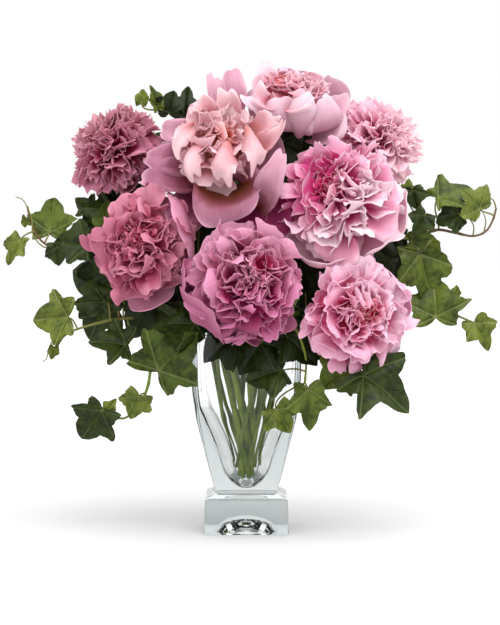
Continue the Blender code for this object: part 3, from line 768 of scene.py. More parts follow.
# Petals at the heart and at the skirt of a bloom, in the order of Habit.fields.
FULL = ((10, .46, 4, 12, 1.1, .42, .12, .14, .93, 48), (25, .46, 34, -16, .6, .24, .04, .10, 1.03, 16))
FLUFFY = ((8, .4, 0, 8, 1.3, .42, .17, .2, 1.06, 24), (14, .38, 14, -14, 1, .34, .11, .2, 1.24, 16))
OPEN = ((11, .4, 8, 20, 1.1, .46, .16, .17, 1.0, 36), (20, .34, 40, -14, .7, .34, .07, .14, 1.1, 20))
CLOSED = ((12, .45, 6, 26, 1.2, .34, .08, .06, .86, 30), (22, .42, 24, 20, .9, .26, .03, .06, .93, 20))
HABITS = {
    "left_top": Habit(140, 118, *FLUFFY, 11, ((25, 60), (35, 200), (30, 320)), (30, 20), 40,
                      blush_turn=130, blush=0.5, crowd=1.1),
    "middle_top": Habit(62, 108, *OPEN, 14, ((30, 80), (35, 200), (30, 320)), (14, 330), 26,
                        blush_turn=60, blush=0.6, crowd=1.5, hollow=0.3),
    "back_top": Habit(60, 104, *CLOSED, 13, ((20, 150), (30, 340)), (30, 120), 40,
                      blush_turn=0, blush=0.5, crowd=1.5),
    "right_top": Habit(120, 116, *FLUFFY, 11, ((25, 60), (35, 200), (30, 320)), (35, 150), 45,
                       blush_turn=-20, blush=0.9, crowd=1.2),
    "right_middle": Habit(104, 110, *FULL, 13, ((14, 130), (34, 230), (34, 10)), (14, 170), 40,
                          blush_turn=-40, blush=1.0, crowd=2.1, hollow=0.34),
    "left_middle": Habit(88, 110, *FULL, 13, ((8, 90), (36, 300), (34, 160)), (10, 60), 34,
                         blush_turn=60, blush=0.4, crowd=2.2, hollow=0.2),
    "centre_low": Habit(116, 110, *FULL, 13, ((26, 50), (40, 330), (34, 180)), (28, 40), 36,
                        blush_turn=90, blush=0.6, crowd=1.9, hollow=0.2),
    "right_low": Habit(96, 110, *FULL, 13, ((8, 0), (34, 200), (36, 60)), (10, 20), 30,
                       blush_turn=35, blush=0.9, crowd=2.1, hollow=0.26),
}

# How far a crown rises above the middle of its bloom, where it is flat on top.
CROWN_TOPS = {"back_top": 30.0}

# Broad outer petals: turn, half turn, tilt of the foot and of the tip, stand-off, flare, ruffle.
GUARDS = {
    "left_top": ((300, 24, 150, 100, 3, .5, .8), (240, 22, 150, 104, 3, .5, .8)),
    "middle_top": ((20, 26, 160, 96, 20, .3, .8), (168, 26, 160, 104, 20, .3, .8)),
    "back_top": ((250, 34, 146, 52, 8, -.3, 1.8), (306, 26, 146, 52, 12, -.3, 1.8),
                 (20, 30, 146, 72, 8, .4, 1.2), (200, 30, 150, 60, 6, -.2, 1.6),
                 (85, 30, 150, 76, 4, .2, 1.4)),
    "right_top": ((330, 24, 150, 98, 4, .6, .8), (20, 22, 150, 100, 4, .6, .8)),
    "right_middle": ((262, 32, 146, 78, 7, .4, 1.2), (310, 28, 150, 84, 6, .5, 1.2),
                     (350, 28, 150, 84, 6, .5, 1.2), (215, 24, 150, 84, 5, .5, 1.0),
                     (285, 22, 150, 98, 9, .6, 1.2)),
    "left_middle": ((22, 44, 146, 56, 8, -.2, .6), (280, 30, 150, 86, 5, .4, 1.0),
                    (235, 28, 150, 96, 2, .2, .8)),
    "centre_low": ((215, 32, 146, 62, 6, .1, .8), (180, 24, 150, 78, 6, .5, .8),
                   (258, 26, 150, 84, 2, .2, .8), (300, 28, 150, 88, 3, .3, .8)),
    "right_low": ((30, 32, 146, 64, 3, -.2, .6), (75, 28, 150, 80, 2, .3, .8),
                  (300, 28, 150, 88, 5, .3, 1.0)),
}
# Broad petals that stand free of their bloom: foot, middle and tip, the way the inside faces, half
# width, cup in radians, how far the rim rolls back, how high the colour starts, how much painted shade
# darkens it.
BROAD = {
    "middle_top": (
        ((-32, -6, 350), (-70, -34, 352), (-102, -42, 360), (.35, -.8, .5), 23, 1.0, 10, .3, .3),
        ((-34, -4, 362), (-70, -26, 368), (-101, -30, 376), (.3, -.85, .3), 20, 1.0, 8, .3, .25),
        ((-30, 4, 376), (-62, -8, 394), (-87, -6, 402), (.2, -.95, .2), 17, .8, 5, .5, 0),
        ((-36, -12, 336), (-58, -42, 318), (-62, -60, 306), (.35, -.5, .8), 26, 1.2, 12, .5, .7),
        ((-22, -14, 340), (-20, -58, 324), (-17, -76, 314), (0, -.5, .85), 42, 1.25, 12, .25, 0),
        ((-8, -6, 330), (-2, -32, 342), (4, -34, 364), (-.1, -.8, .6), 28, .9, 0, .15, 0),
        ((-8, -4, 330), (2, -34, 312), (8, -40, 298), (-.1, -.9, .35), 19, .5, 4, .6, 1),
        ((10, -20, 318), (20, -58, 338), (34, -58, 382), (-.3, -.95, 0), 15, .6, 5, .55, 0),
        ((12, -6, 336), (30, -34, 314), (36, -44, 292), (-.1, -.95, .2), 17, .5, 3, .6, 1),
        ((-18, 12, 400), (-14, 10, 434), (-13, 6, 461), (.1, -.95, -.2), 17, 1.1, 5, .7, 0),
        ((-28, 6, 400), (-33, 0, 432), (-36, -2, 457), (.3, -.9, 0), 8, 1.2, 2, .9, 0),
        ((-22, 8, 400), (-26, 4, 432), (-28, 2, 452), (.2, -.9, 0), 8, 1.2, 2, .9, 0),
        ((-28, 4, 380), (-44, 2, 410), (-50, 0, 426), (.2, -.95, 0), 15, .8, 4, .5, 0),
    ),
    "back_top": (
        ((34, 0, 402), (14, -8, 420), (2, -6, 440), (.5, -.7, .5), 17, 1.2, 10, .5, 0),
        ((30, 34, 430), (22, 30, 454), (19, 26, 469), (.1, -.95, .1), 12, .9, 3, .9, 0),
        ((40, 34, 430), (38, 30, 452), (38, 28, 465), (-.2, -.9, .2), 7, 1.2, 2, .7, 0),
        ((54, 6, 392), (58, -22, 412), (60, -16, 436), (-.2, .8, .5), 19, 1.2, 0, .6, 0),
        ((62, 26, 400), (84, 20, 416), (100, 14, 437), (-.3, -.9, .2), 15, .8, 5, .4, .3),
        ((60, 24, 392), (84, 14, 400), (92, 8, 418), (-.3, -.9, .3), 17, .8, 5, .5, .1),
    ),
    "centre_low": (
        ((-20, -70, 252), (-42, -80, 262), (-57, -72, 272), (.3, -.9, .1), 21, .7, 6, .4, 0),
        ((-14, -84, 244), (-38, -102, 240), (-54, -94, 246), (.3, -.9, .2), 25, .7, 7, .4, .1),
        ((-12, -88, 236), (-32, -104, 216), (-44, -94, 202), (.3, -.85, .4), 25, .7, 7, .4, .2),
        ((2, -92, 230), (-8, -112, 214), (-12, -106, 204), (.1, -.85, .5), 24, .7, 6, .4, .4),
    ),
    "right_middle": (
        ((92, -52, 298), (88, -60, 278), (84, -50, 260), (-.1, -.8, .5), 25, .7, 5, .5, 0),
        ((118, -52, 320), (138, -60, 308), (150, -50, 302), (-.3, -.8, .4), 22, .7, 6, .4, 0),
        ((118, -44, 340), (138, -50, 344), (152, -40, 346), (-.3, -.9, .1), 24, .7, 6, .4, 0),
    ),
}
# Big lobes of a crown that arch out and droop, in the same terms, as far as the cup.
LOBES = {
    "middle_top": (
        ((-36, -30, 392), (-52, -64, 372), (-48, -60, 350), (.2, .9, -.2), 15, 1.5),
        ((-16, -36, 388), (-22, -76, 368), (-20, -72, 343), (.1, .9, -.2), 19, 1.4),
        ((0, -36, 400), (9, -72, 380), (8, -66, 357), (-.2, .9, -.2), 17, 1.5),
        ((-40, -26, 404), (-60, -50, 394), (-62, -46, 380), (.3, .9, 0), 13, 1.2),
        ((4, -20, 376), (24, -36, 392), (34, -30, 409), (-.3, -.9, .1), 13, .9),
        ((2, -20, 396), (20, -34, 408), (26, -28, 420), (-.3, -.9, 0), 11, .9),
        ((-30, -16, 400), (-42, -30, 420), (-48, -24, 430), (.3, -.9, .1), 12, .9),
        ((-14, -10, 404), (-18, -20, 424), (-22, -16, 438), (0, -.95, .1), 14, .9),
    ),
    "back_top": (
        ((44, 0, 420), (52, -26, 424), (62, -22, 438), (-.2, -.8, .5), 14, 1.1),
        ((26, 4, 420), (18, -18, 428), (12, -16, 442), (.2, -.8, .5), 13, 1.1),
    ),
}

# Colours, 0 to 255: deep inside (partly painted shade of the bloom's depths), body, tips, paler side,
# heart.
COLORS = {
    "left_top": ((160, 0, 60), (184, 36, 86), (218, 144, 174), (222, 178, 182), (204, 24, 108)),
    "middle_top": ((232, 142, 110), (230, 162, 174), (240, 204, 214), (250, 226, 228), (232, 100, 30)),
    "back_top": ((222, 100, 110), (236, 170, 188), (248, 214, 224), (250, 230, 236), (238, 136, 116)),
    "right_top": ((238, 76, 144), (248, 170, 204), (254, 220, 234), (254, 230, 236), (220, 30, 124)),
    "right_middle": ((190, 0, 84), (226, 84, 156), (248, 200, 224), (252, 236, 242), (206, 4, 100)),
    "left_middle": ((164, 6, 56), (192, 70, 110), (220, 142, 170), (238, 174, 194), (204, 36, 88)),
    "centre_low": ((176, 0, 74), (180, 32, 98), (222, 136, 180), (242, 194, 216), (190, 14, 84)),
    "right_low": ((224, 24, 64), (224, 92, 148), (246, 196, 220), (250, 222, 236), (220, 22, 40)),
}
# Colours of the broad outer petals, in the same order. Those of middle_top have their deep, body and tip
# darkened as painted shade, the deep orange-brown also being the colour near the stamens. The last colour
# shows only as painted shade, on the dusky free-standing petals.
GUARD_COLORS = {
    "left_top": ((116, 10, 46), (176, 56, 98), (210, 124, 150), (210, 150, 162), (130, 20, 60)),
    "middle_top": ((160, 88, 44), (160, 78, 104), (198, 126, 160), (244, 204, 220), (150, 44, 96)),
    "back_top": ((214, 136, 154), (226, 172, 194), (240, 204, 220), (250, 234, 242), (196, 104, 142)),
    "right_top": ((202, 60, 114), (238, 150, 186), (250, 206, 222), (250, 220, 228), (214, 80, 140)),
    "right_middle": ((218, 104, 150), (246, 178, 206), (252, 222, 232), (254, 238, 244), (230, 130, 170)),
    "left_middle": ((164, 50, 84), (220, 118, 158), (236, 168, 200), (240, 186, 210), (160, 40, 80)),
    "centre_low": ((112, 14, 60), (168, 64, 110), (196, 106, 148), (218, 150, 180), (140, 20, 76)),
    "right_low": ((212, 96, 150), (242, 170, 208), (250, 204, 228), (252, 224, 240), (214, 90, 140)),
}
SEPAL_GREEN = ((62, 84, 40), (112, 128, 66), (150, 160, 100))


def make_peonies():
    """All the blooms, pressed together where they meet, each with its sepals."""
    blooms = [Bloom(name) for name in PEONIES]
    lean_together(blooms)
    for bloom in blooms:
        if bloom.name in CROWN_TOPS:
            bloom.walls.append((CROWN_TOPS[bloom.name], bloom.turn.T @ UP))
    sepal_green = leaf_finish("sepal_green", SEPAL_GREEN, LANCE_RIBS)
    for number, bloom in enumerate(blooms):
        finish = petal_finish(f"petals_of_{bloom.name}", COLORS[bloom.name])
        outer = petal_finish(f"outer_petals_of_{bloom.name}", GUARD_COLORS[bloom.name], 0.15, 0.6)
        make_bloom(bloom, finish, outer, PETAL_SEED + number)
        make_sepals(bloom, sepal_green, SEPAL_SEED + number)
    return blooms


def make_sepals(bloom, finish, seed):
    """Green sepals cupping the back of a bloom."""
    rng = np.random.default_rng(seed)
    sheets = Sheets("leaf_x", "leaf_y")
    for k in range(SEPALS):
        turn = k * 360 / SEPALS + rng.uniform(-8, 8)
        spots, u, v = guard_sheet(bloom, turn, 40, 176, rng.uniform(118, 132), 2.4, 1.6, 0.3, rng,
                                  notch=0.02, rows=12, columns=9)
        sheets.add(bloom.world(spots), leaf_x=0.3 * u, leaf_y=v)
    add_piece(f"peony_{bloom.name}_sepals", sheets, finish, thickness=OUTER_T)


# The green cup that a stem widens into: how far it starts below the bloom, and the rings that it is
# made of, each by how far it lies below the bloom, and its radius.
CUP_START = 13.0
CUP = ((9.0, 3.2), (7.0, 4.2), (4.5, 6.4), (2.5, CALYX_R), (0.5, CALYX_R * 0.95))


def make_stem(bloom, finish):
    """A stalk crossing the vase, curving over to its bloom and widening into the green cup."""
    foot_r, foot_z, twist = STEM_FOOT
    foot = on_ring(foot_r, bloom.rim_angle + twist, foot_z)
    rim = on_ring(STEM_RIM_R, bloom.rim_angle, RIM_Z)
    axis = bloom.turn[:, 2]
    top = bloom.back()
    line = np.vstack([[foot + (rim - foot) * t for t in np.linspace(0, 1, 12)[:-1]],
                      smooth_path([rim, *bloom.path, top - axis * CUP_START], 8),
                      [top - axis * below for below, _ in CUP]])
    radii = STEM_R * (1 + 0.05 * np.sin(np.arange(len(line)) * 1.7))
    radii[-len(CUP):] = [radius for _, radius in CUP]
    add_tube(f"peony_{bloom.name}_stalk", line, radii, 14, finish,
             [f"peony_{bloom.name}_stem"])
    return line


# --- the ivy --------------------------------------------------------------------------------------

# Right half of an ivy leaf's edge from the notch at its foot to its tip, on a blade one unit long:
# lobe tips and the bays between them, and how far the edge bulges on the way to each.
LEAF_EDGE = (
    (0.0, -0.03, 0.0), (0.40, -0.22, 0.11), (0.40, 0.10, 0.05), (0.64, 0.40, 0.08), (0.30, 0.52, 0.06),
    (0.0, 1.0, 0.08),
)
RIBS = ((0.0, 1.0), (0.64, 0.40), (-0.64, 0.40), (0.40, -0.22), (-0.40, -0.22))
LANCE_EDGE = ((0.0, -0.02, 0.0), (0.17, 0.28, 0.07), (0.0, 1.0, 0.11))      # a peony's own leaflet
LANCE_RIBS = ((0.0, 1.0),)
LEAFLETS = ((0.0, 1.0), (-0.75, 0.8), (0.75, 0.8))      # a peony leaf's three: turn in radians, and size
EDGE_STEPS = 8        # points from a lobe to the next bay
# On a blade one unit long: how far the edge strays at its lobes and along it, how far the blade puffs up
# between its ribs and how soon, and how high its edge and its whole surface wave.
KNOT_STRAY, UNEVEN = 0.025, 0.022
PUFF, PUFF_SOFTNESS = 0.06, 0.07
EDGE_WAVE, BLADE_RIPPLE = 0.05, 0.08
BLADE_T = 0.7
STALK_R = 0.8
TENDRIL_R = (0.8, 0.45)
LEAVES_PER_STEM = 7
LEAF_SEED = 700       # each leaf takes the next seed
FOLIAGE_SEED = 900

# The leaves that stand for a solid. Vine; foot of the blade; way to its tip; way its face looks; length;
# width for its length; how deep its lobes are (0 heart-shaped, 1 starry); and kind of green.
LEAVES = {
    "left_peak": ("left_upper", (-197, 5, 298), (.12, .15, 1), (-.2, -.9, .1), 36, 1.15, .8, "mid"),
    "left_far": ("left_upper", (-225, -10, 290), (-.45, 0, -.9), (-.3, -.9, .3), 28, .8, .7, "light"),
    "left_inner": ("left_upper", (-160, -10, 284), (-.95, -.05, .25), (.1, -.9, .3), 32, 1.2, .8, "dark"),
    "left_star": ("left_middle", (-176, -30, 214), (-1, 0, -.05), (0, -.95, .25), 36, 1.3, 1.0, "light"),
    "left_big": ("left_middle", (-128, -4, 240), (-.9, 0, .42), (0, -.95, .1), 54, 1.2, .9, "dark"),
    "left_vein": ("left_middle", (-119, -40, 187), (-1, 0, .1), (0, -.8, .5), 36, 1.25, 1.0, "dark"),
    "left_front": ("left_lower", (-85, -64, 164), (.7, -.1, .72), (0, -.95, .2), 52, 1.15, .9, "olive"),
    "left_light": ("left_lower", (-104, -64, 139), (-.3, -.3, -.8), (.2, -.8, .5), 24, 1.2, .7, "light"),
    "left_low": ("left_lower", (-141, -56, 124), (-.6, 0, -.8), (.1, -.95, .2), 36, 1.15, .9, "dark"),
    "top_dark": ("back", (-62, 38, 412), (.02, 0, 1), (-.1, -.95, .1), 38, .62, .3, "deep"),
    "right_peak": ("right_upper", (192, -2, 331), (.9, .1, .5), (-.3, -.6, .7), 36, 1.2, .8, "mid"),
    "right_far": ("right_upper", (231, -10, 321), (-.5, -.3, .6), (-.2, -.7, .6), 27, 1.3, .7, "light"),
    "right_heart": ("right_upper", (212, -10, 316), (-.95, -.1, -.3), (.1, -.9, .3), 25, 1.1, .3, "dark"),
    "right_inner": ("right_upper", (177, -15, 315), (-.5, -.2, -.85), (.2, -.9, .3), 24, 1.0, .6, "dark"),
    "right_dark": ("right_middle", (156, -1, 273), (-1, 0, -.1), (0, -.95, .2), 32, 1.2, .4, "deep"),
    "right_big": ("right_middle", (172, -12, 276), (.3, -.1, -.95), (.1, -.95, .1), 57, .85, .8, "mid"),
    "right_star": ("right_middle", (227, -10, 207), (.45, -.1, -.75), (.3, -.9, .2), 30, 1.0, .8, "light"),
    "low_star": ("right_lower", (113, -78, 160), (.8, -.1, -.6), (.1, -.85, .5), 56, 1.15, 1.2, "dark"),
    "low_hang": ("front", (60, -70, 146), (.1, -.2, -.98), (.2, -.95, 0), 40, .8, .7, "mid"),
    "back_upper": ("back", (-30, 84, 352), (-.2, .25, 1), (-.1, .95, -.1), 56, 1.2, .8, "dark"),
    "back_lower": ("back_right", (90, 109, 330), (.75, .25, -.5), (.1, .95, .1), 56, 1.2, .8, "dark"),
}
# More leaves, which have no solid of their own.
MORE_LEAVES = {
    "left_round": ("left_upper", (-189, -4, 284), (.1, -.1, -1), (0, -.95, .2), 20, 1.0, .25, "dark"),
    "left_spike_upper": ("left_upper", (-156, 12, 320), (-.8, 0, .6), (0, -.95, .3), 20, 1.2, 1.0, "dark"),
    "left_spike_lower": ("left_upper", (-156, 10, 305), (-1, 0, .1), (.1, -.95, .2), 18, 1.0, 1.0, "deep"),
    "left_bract": ("left_upper", (-141, -2, 302), (0, -.2, 1), (-.3, -.9, .2), 27, .75, .3, "mid"),
    "left_behind": ("left_upper", (-136, 14, 320), (-.5, 0, -.85), (0, -.9, .3), 38, 1.1, .8, "dark"),
    "left_behind_low": ("left_upper", (-126, 16, 304), (-.35, 0, -.95), (.1, -.9, .3), 44, 1.1, .7, "deep"),
    "left_behind_end": ("left_middle", (-138, 8, 266), (-.25, 0, -1), (0, -.9, .3), 42, 1.1, .7, "deep"),
    "left_behind_top": ("left_upper", (-122, 22, 326), (-.75, 0, .5), (.1, -.9, .3), 36, 1.1, .8, "deep"),
    "middle_deep": ("back", (-32, 12, 318), (.25, -.1, -1), (0, -.95, .2), 46, 1.2, .6, "deep"),
    "middle_deep_left": ("back", (-50, 8, 322), (-.3, -.1, -.9), (.1, -.95, .2), 42, 1.1, .6, "deep"),
    "middle_deep_right": ("back_right", (24, 14, 322), (-.1, -.1, -1), (0, -.95, .2), 44, 1.2, .6, "deep"),
    "top_deep": ("back_right", (34, 20, 388), (-.1, -.1, -1), (0, -.95, .2), 44, 1.1, .5, "deep"),
    "between_left": ("left_lower", (-47, -22, 298), (0, -.1, -1), (0, -.95, .2), 46, 1.1, .5, "deep"),
    "top_deep_right": ("back_right", (60, 26, 402), (-.3, -.1, -.95), (0, -.95, .2), 42, 1.3, .5, "deep"),
    "between_low": ("right_lower", (58, -16, 268), (.15, -.2, -1), (0, -.95, .2), 44, 1.1, .6, "deep"),
    "left_under": ("left_middle", (-140, -8, 228), (-.45, -.1, -.9), (0, -.95, .3), 40, 1.1, .8, "dark"),
    "left_deep": ("left_middle", (-92, -22, 230), (-.6, -.1, -.8), (0, -.9, .4), 42, 1.2, .6, "deep"),
    "left_above": ("left_middle", (-118, 0, 262), (-.75, .1, .6), (-.1, -.95, .2), 44, 1.1, .8, "deep"),
    "left_bud": ("left_upper", (-218, -9, 306), (-.4, -.2, .9), (-.2, -.9, .2), 10, .8, .2, "light"),
    "left_end": ("left_middle", (-190, -28, 184), (-.2, -.2, -1), (.2, -.9, .2), 12, .8, .2, "light"),
    "low_curl": ("left_lower", (-135, -55, 125), (.5, -.3, .8), (0, -.9, .3), 13, .9, .3, "light"),
    "under_left": ("left_lower", (-50, -46, 208), (-.95, -.1, .05), (0, -.8, .6), 46, 1.1, .5, "dark"),
    "under_left_low": ("left_lower", (-58, -44, 204), (-.85, -.2, -.4), (0, -.8, .6), 40, 1.2, .7, "dark"),
    "under_left_back": ("left_middle", (-66, -10, 222), (-.9, .1, .3), (0, -.9, .4), 48, 1.1, .6, "deep"),
    "top_small": ("back", (-106, 30, 428), (.1, 0, 1), (0, -.95, .1), 15, .8, .1, "light"),
    "top_narrow": ("back", (-90, 34, 424), (-.25, 0, 1), (.3, -.9, .1), 24, .5, .2, "light"),
    "top_heart": ("back", (-78, 34, 418), (.15, 0, 1), (-.2, -.95, .1), 24, 1.0, .2, "deep"),
    "right_small": ("right_upper", (161, 4, 336), (.1, -.1, 1), (0, -.95, .2), 15, 1.0, .3, "light"),
    "right_small_low": ("right_upper", (166, 0, 340), (.2, -.1, -1), (0, -.95, .2), 20, 1.1, .4, "dark"),
    "right_dark_low": ("right_middle", (146, 0, 268), (.1, -.1, -1), (0, -.95, .2), 20, 1.0, .3, "deep"),
    "right_spike": ("right_upper", (150, 8, 288), (-.35, -.1, 1), (0, -.95, .2), 22, 1.0, .9, "dark"),
    "right_light": ("right_upper", (164, -6, 288), (.9, -.1, .15), (0, -.9, .4), 26, .9, .3, "mid"),
    "right_lower": ("right_middle", (188, -16, 214), (0, -.1, 1), (.1, -.95, .1), 42, 1.3, 1.0, "mid"),
    "right_bud": ("right_middle", (208, -6, 234), (.2, -.1, 1), (0, -.9, .3), 12, .8, .2, "light"),
    "right_oval": ("right_lower", (130, -52, 172), (.65, -.1, .75), (0, -.95, .3), 30, .75, .15, "mid"),
    "right_behind": ("right_middle", (120, 0, 262), (.2, .1, .98), (.1, -.9, .2), 40, 1.1, .5, "deep"),
    "low_left_star": ("right_lower", (100, -62, 168), (-.8, -.1, -.5), (0, -.9, .4), 36, 1.15, .8, "mid"),
    "low_left_deep": ("right_lower", (78, -46, 196), (.4, -.4, -.8), (0, -.9, .4), 34, 1.2, .6, "deep"),
    "rim_left": ("front", (-8, -54, 196), (-.85, -.1, -.3), (0, -.8, .6), 42, 1.15, .5, "deep"),
    "rim_middle": ("front", (14, -60, 190), (-.55, -.1, -.75), (0, -.9, .4), 36, 1.3, .7, "deep"),
    "rim_right": ("front", (40, -58, 196), (.75, -.2, -.6), (0, -.8, .6), 40, 1.2, .7, "deep"),
    "rim_dark": ("front", (34, -62, 164), (-.95, -.05, -.25), (0, -.95, .3), 36, 1.1, .7, "dark"),
    "rim_light": ("front", (29, -64, 126), (.55, -.15, -.85), (0, -.95, .2), 27, 1.25, .9, "light"),
    "back_left": ("back", (-60, 70, 380), (-.8, .3, .3), (-.2, .9, .1), 46, 1.1, .8, "dark"),
    "back_middle": ("back", (-24, 72, 284), (.2, .4, -.85), (0, .95, .2), 50, 1.15, .8, "mid"),
    "back_far": ("back_right", (72, 108, 314), (-.7, .2, .6), (0, .95, .2), 46, 1.2, .8, "mid"),
    "back_low": ("back_right", (38, 88, 268), (.7, .3, -.6), (.1, .95, .2), 48, 1.1, .8, "dark"),
    "back_rim": ("back", (-20, 62, 232), (-.8, .3, -.5), (-.1, .9, .3), 46, 1.2, .7, "dark"),
}
# Thin tendrils: the path of each from an ivy stem to its free end.
TENDRILS = {
    "left": ((-191, 0, 281), (-203, -8, 284), (-212, -12, 296), (-213, -13, 312), (-221, -12, 329),
             (-229, -12, 333)),
    "left_bottom": ((-176, -26, 197), (-186, -30, 196), (-194, -30, 186), (-197, -30, 174),
                    (-201, -30, 170)),
    "right": ((237, -5, 298), (238, -9, 310), (233, -11, 322)),
    "right_end": ((226, -5, 294), (226, -10, 304), (221, -12, 312), (216, -12, 314)),
    "right_tip": ((249, -5, 320), (246, -8, 329), (238, -9, 334), (234, -9, 331)),
}
# Greens of a leaf, 0 to 255: between its veins, its paler blotches, and its veins. The deep green,
# almost black, goes on leaves deep among, behind and under the blooms, and is partly painted shade.
GREENS = {
    "deep": ((18, 26, 6), (34, 46, 14), (58, 74, 32)),
    "dark": ((26, 36, 8), (52, 66, 20), (96, 110, 58)),
    "olive": ((38, 50, 12), (70, 86, 26), (120, 132, 74)),
    "mid": ((50, 62, 14), (92, 108, 36), (144, 152, 94)),
    "light": ((60, 74, 18), (108, 120, 44), (158, 164, 102)),
}


def leaf_edge(rng, outline, depth):
    """One side of a leaf's edge, from lobe to bay, with shallower bays where depth is small."""
    knots = [np.array(k[:2]) for k in outline]
    for bay in range(2, len(knots) - 1, 2):
        hull = 0.5 * (knots[bay - 1] + knots[bay + 1])
        knots[bay] = hull + (knots[bay] - hull) * depth
    for knot in knots[1:-1]:
        knot += rng.normal(0, KNOT_STRAY, 2)
    points = []
    for (a, b), (_, _, bulge) in zip(zip(knots, knots[1:]), outline[1:]):
        out = np.array((b - a)[::-1]) * (1, -1)
        middle = 0.5 * (a + b) + out * bulge * 2 * rng.uniform(0.6, 1.7)
        points.append(arch(a, middle, b, np.linspace(0, 1, EDGE_STEPS, endpoint=False)))
    edge = np.vstack([*points, knots[-1][None]])
    share = np.linspace(0, 1, len(edge))
    uneven = sum(np.sin(waves * math.pi * share + rng.uniform(0, 6)) for waves in (9, 14, 21))
    return edge * (1 + UNEVEN * uneven * np.sin(math.pi * share))[:, None]


def leaf_blade(rng, outline, ribs, depth, wide, rows):
    """A leaf's blade on a unit scale: rings from its foot out to the edge, folded, waved and drooping."""
    right = leaf_edge(rng, outline, depth)
    left = leaf_edge(rng, outline, depth)[-2:0:-1] * (-1, 1)
    edge = np.vstack([right, left])
    foot = np.array((0.0, 0.02))
    share = (np.linspace(0.02, 1, rows) ** 0.9)[:, None, None]
    flat = foot + (edge[None] - foot) * share
    x, y = flat[..., 0], flat[..., 1]
    near = np.min([np.where(x * a + y * b > 0, np.abs(x * b - y * a) / math.hypot(a, b), 9)
                   for a, b in ribs], axis=0)
    puff = PUFF * (1 - np.exp(-near / PUFF_SOFTNESS))
    angle = np.arctan2(x, y - foot[1])
    edge_wave = EDGE_WAVE * np.sin(angle * rng.integers(5, 9) + rng.uniform(0, 6)) * share[..., 0] ** 3
    fold, droop, twist = rng.uniform(0.1, 0.4), rng.uniform(0.05, 0.42), rng.normal(0, 0.22)
    z = puff + edge_wave + fold * np.abs(x) * (1 - 0.5 * np.abs(x)) - droop * y * np.abs(y) + twist * x * y
    z = z + BLADE_RIPPLE * ripple(rng, 2 * x, 2 * y, 3, 1, 3) * share[..., 0]
    return np.stack([x * wide, y, z], axis=-1), x, y


def leaf_turn(tip, face):
    """The turn that brings a leaf's length to the way of its tip, and its upper side to its face."""
    along = unit(tip)
    normal = unit(np.asarray(face, float) - along * np.dot(face, along))
    return np.stack([np.cross(along, normal), along, normal], axis=1)


def make_leaf(name, vine, leaf, green, stalk_green, replaced, rng, leaflets=((0.0, 1.0),)):
    """A leaf, of one or more leaflets, on a stalk that starts on the nearest point of its vine."""
    foot, tip, face, length, wide, depth = leaf
    foot = np.array(foot, float)
    turn = leaf_turn(tip, face)
    along = turn[:, 1]
    outline, ribs, rows = (LEAF_EDGE, RIBS, 6) if len(leaflets) == 1 else (LANCE_EDGE, LANCE_RIBS, 4)
    sheets = Sheets("leaf_x", "leaf_y")
    for aside, size in leaflets:
        blade, x, y = leaf_blade(rng, outline, ribs, depth, wide, rows)
        lead = unit(turn @ (math.sin(aside), math.cos(aside), rng.normal(0, 0.1)))
        spots = foot + (blade * length * size) @ leaf_turn(lead, face).T
        sheets.add(spots, wrap=True, ends=1, leaf_x=x, leaf_y=y)
    add_piece(name, sheets, green, replaced, BLADE_T)
    start = vine[np.argmin(np.linalg.norm(vine - (foot - along * 4), axis=1))]
    gap = np.linalg.norm(foot - start)
    t = np.linspace(0, 1, 12)
    route, _ = bezier(start, start + (foot - start) * 0.3 + UP * 0.12 * gap,
                      foot - along * 0.35 * gap, foot + along * 1.6, t)
    add_tube(f"{name}_stalk", route, STALK_R * (1.25 - 0.35 * t), 8, stalk_green)


def hollow_half(z):
    """Half width of the vase's hollow at a height."""
    heights, halves, _ = np.array(HOLLOW).T
    return np.interp(z, heights, halves)


def vine_line(name):
    """The line of an ivy stem, from the wall of the hollow over the rim and out."""
    rim_angle, path = VINES[name]
    foot_z, twist = VINE_FOOT
    foot = on_ring(hollow_half(foot_z) - VINE_R - WALL_GAP, rim_angle + twist, foot_z)
    rim = on_ring(VINE_RIM_R, rim_angle, VINE_RIM_Z)
    inside = [foot + (rim - foot) * t for t in np.linspace(0, 1, 10)[:-1]]
    return np.vstack([inside, smooth_path([rim, *path], 8)])


def make_vine(name, finish):
    """An ivy stem, thinner towards its tip, with knots along it."""
    line = vine_line(name)
    share = np.linspace(0, 1, len(line))
    radii = VINE_R * (1 - VINE_TAPER * ease(0.25, 0.9, share))
    knots = 1 + 0.28 * np.maximum(0, np.sin(share * len(line) * 0.55)) ** 8
    add_tube(f"ivy_vine_{name}", line, radii * knots, 10, finish, [f"ivy_stem_{name}"])
    return line


def make_ivy(stalk_green):
    """The ivy stems, their leaves and their tendrils."""
    vine_brown = stalk_finish("ivy_vine")
    greens = {kind: leaf_finish(f"ivy_leaf_{kind}", colors, RIBS) for kind, colors in GREENS.items()}
    lines = {name: make_vine(name, vine_brown) for name in VINES}
    for seed, (name, row) in enumerate({**LEAVES, **MORE_LEAVES}.items(), LEAF_SEED):
        vine, *leaf, kind = row
        replaced = [f"ivy_leaf_{name}"] if name in LEAVES else []
        make_leaf(f"ivy_{name}", lines[vine], leaf, greens[kind], stalk_green, replaced,
                  np.random.default_rng(seed))
    for name, path in TENDRILS.items():
        line = smooth_path(path, 8)
        radii = np.linspace(*TENDRIL_R, len(line))
        add_tube(f"ivy_tendril_{name}", line, radii, 8, stalk_green)


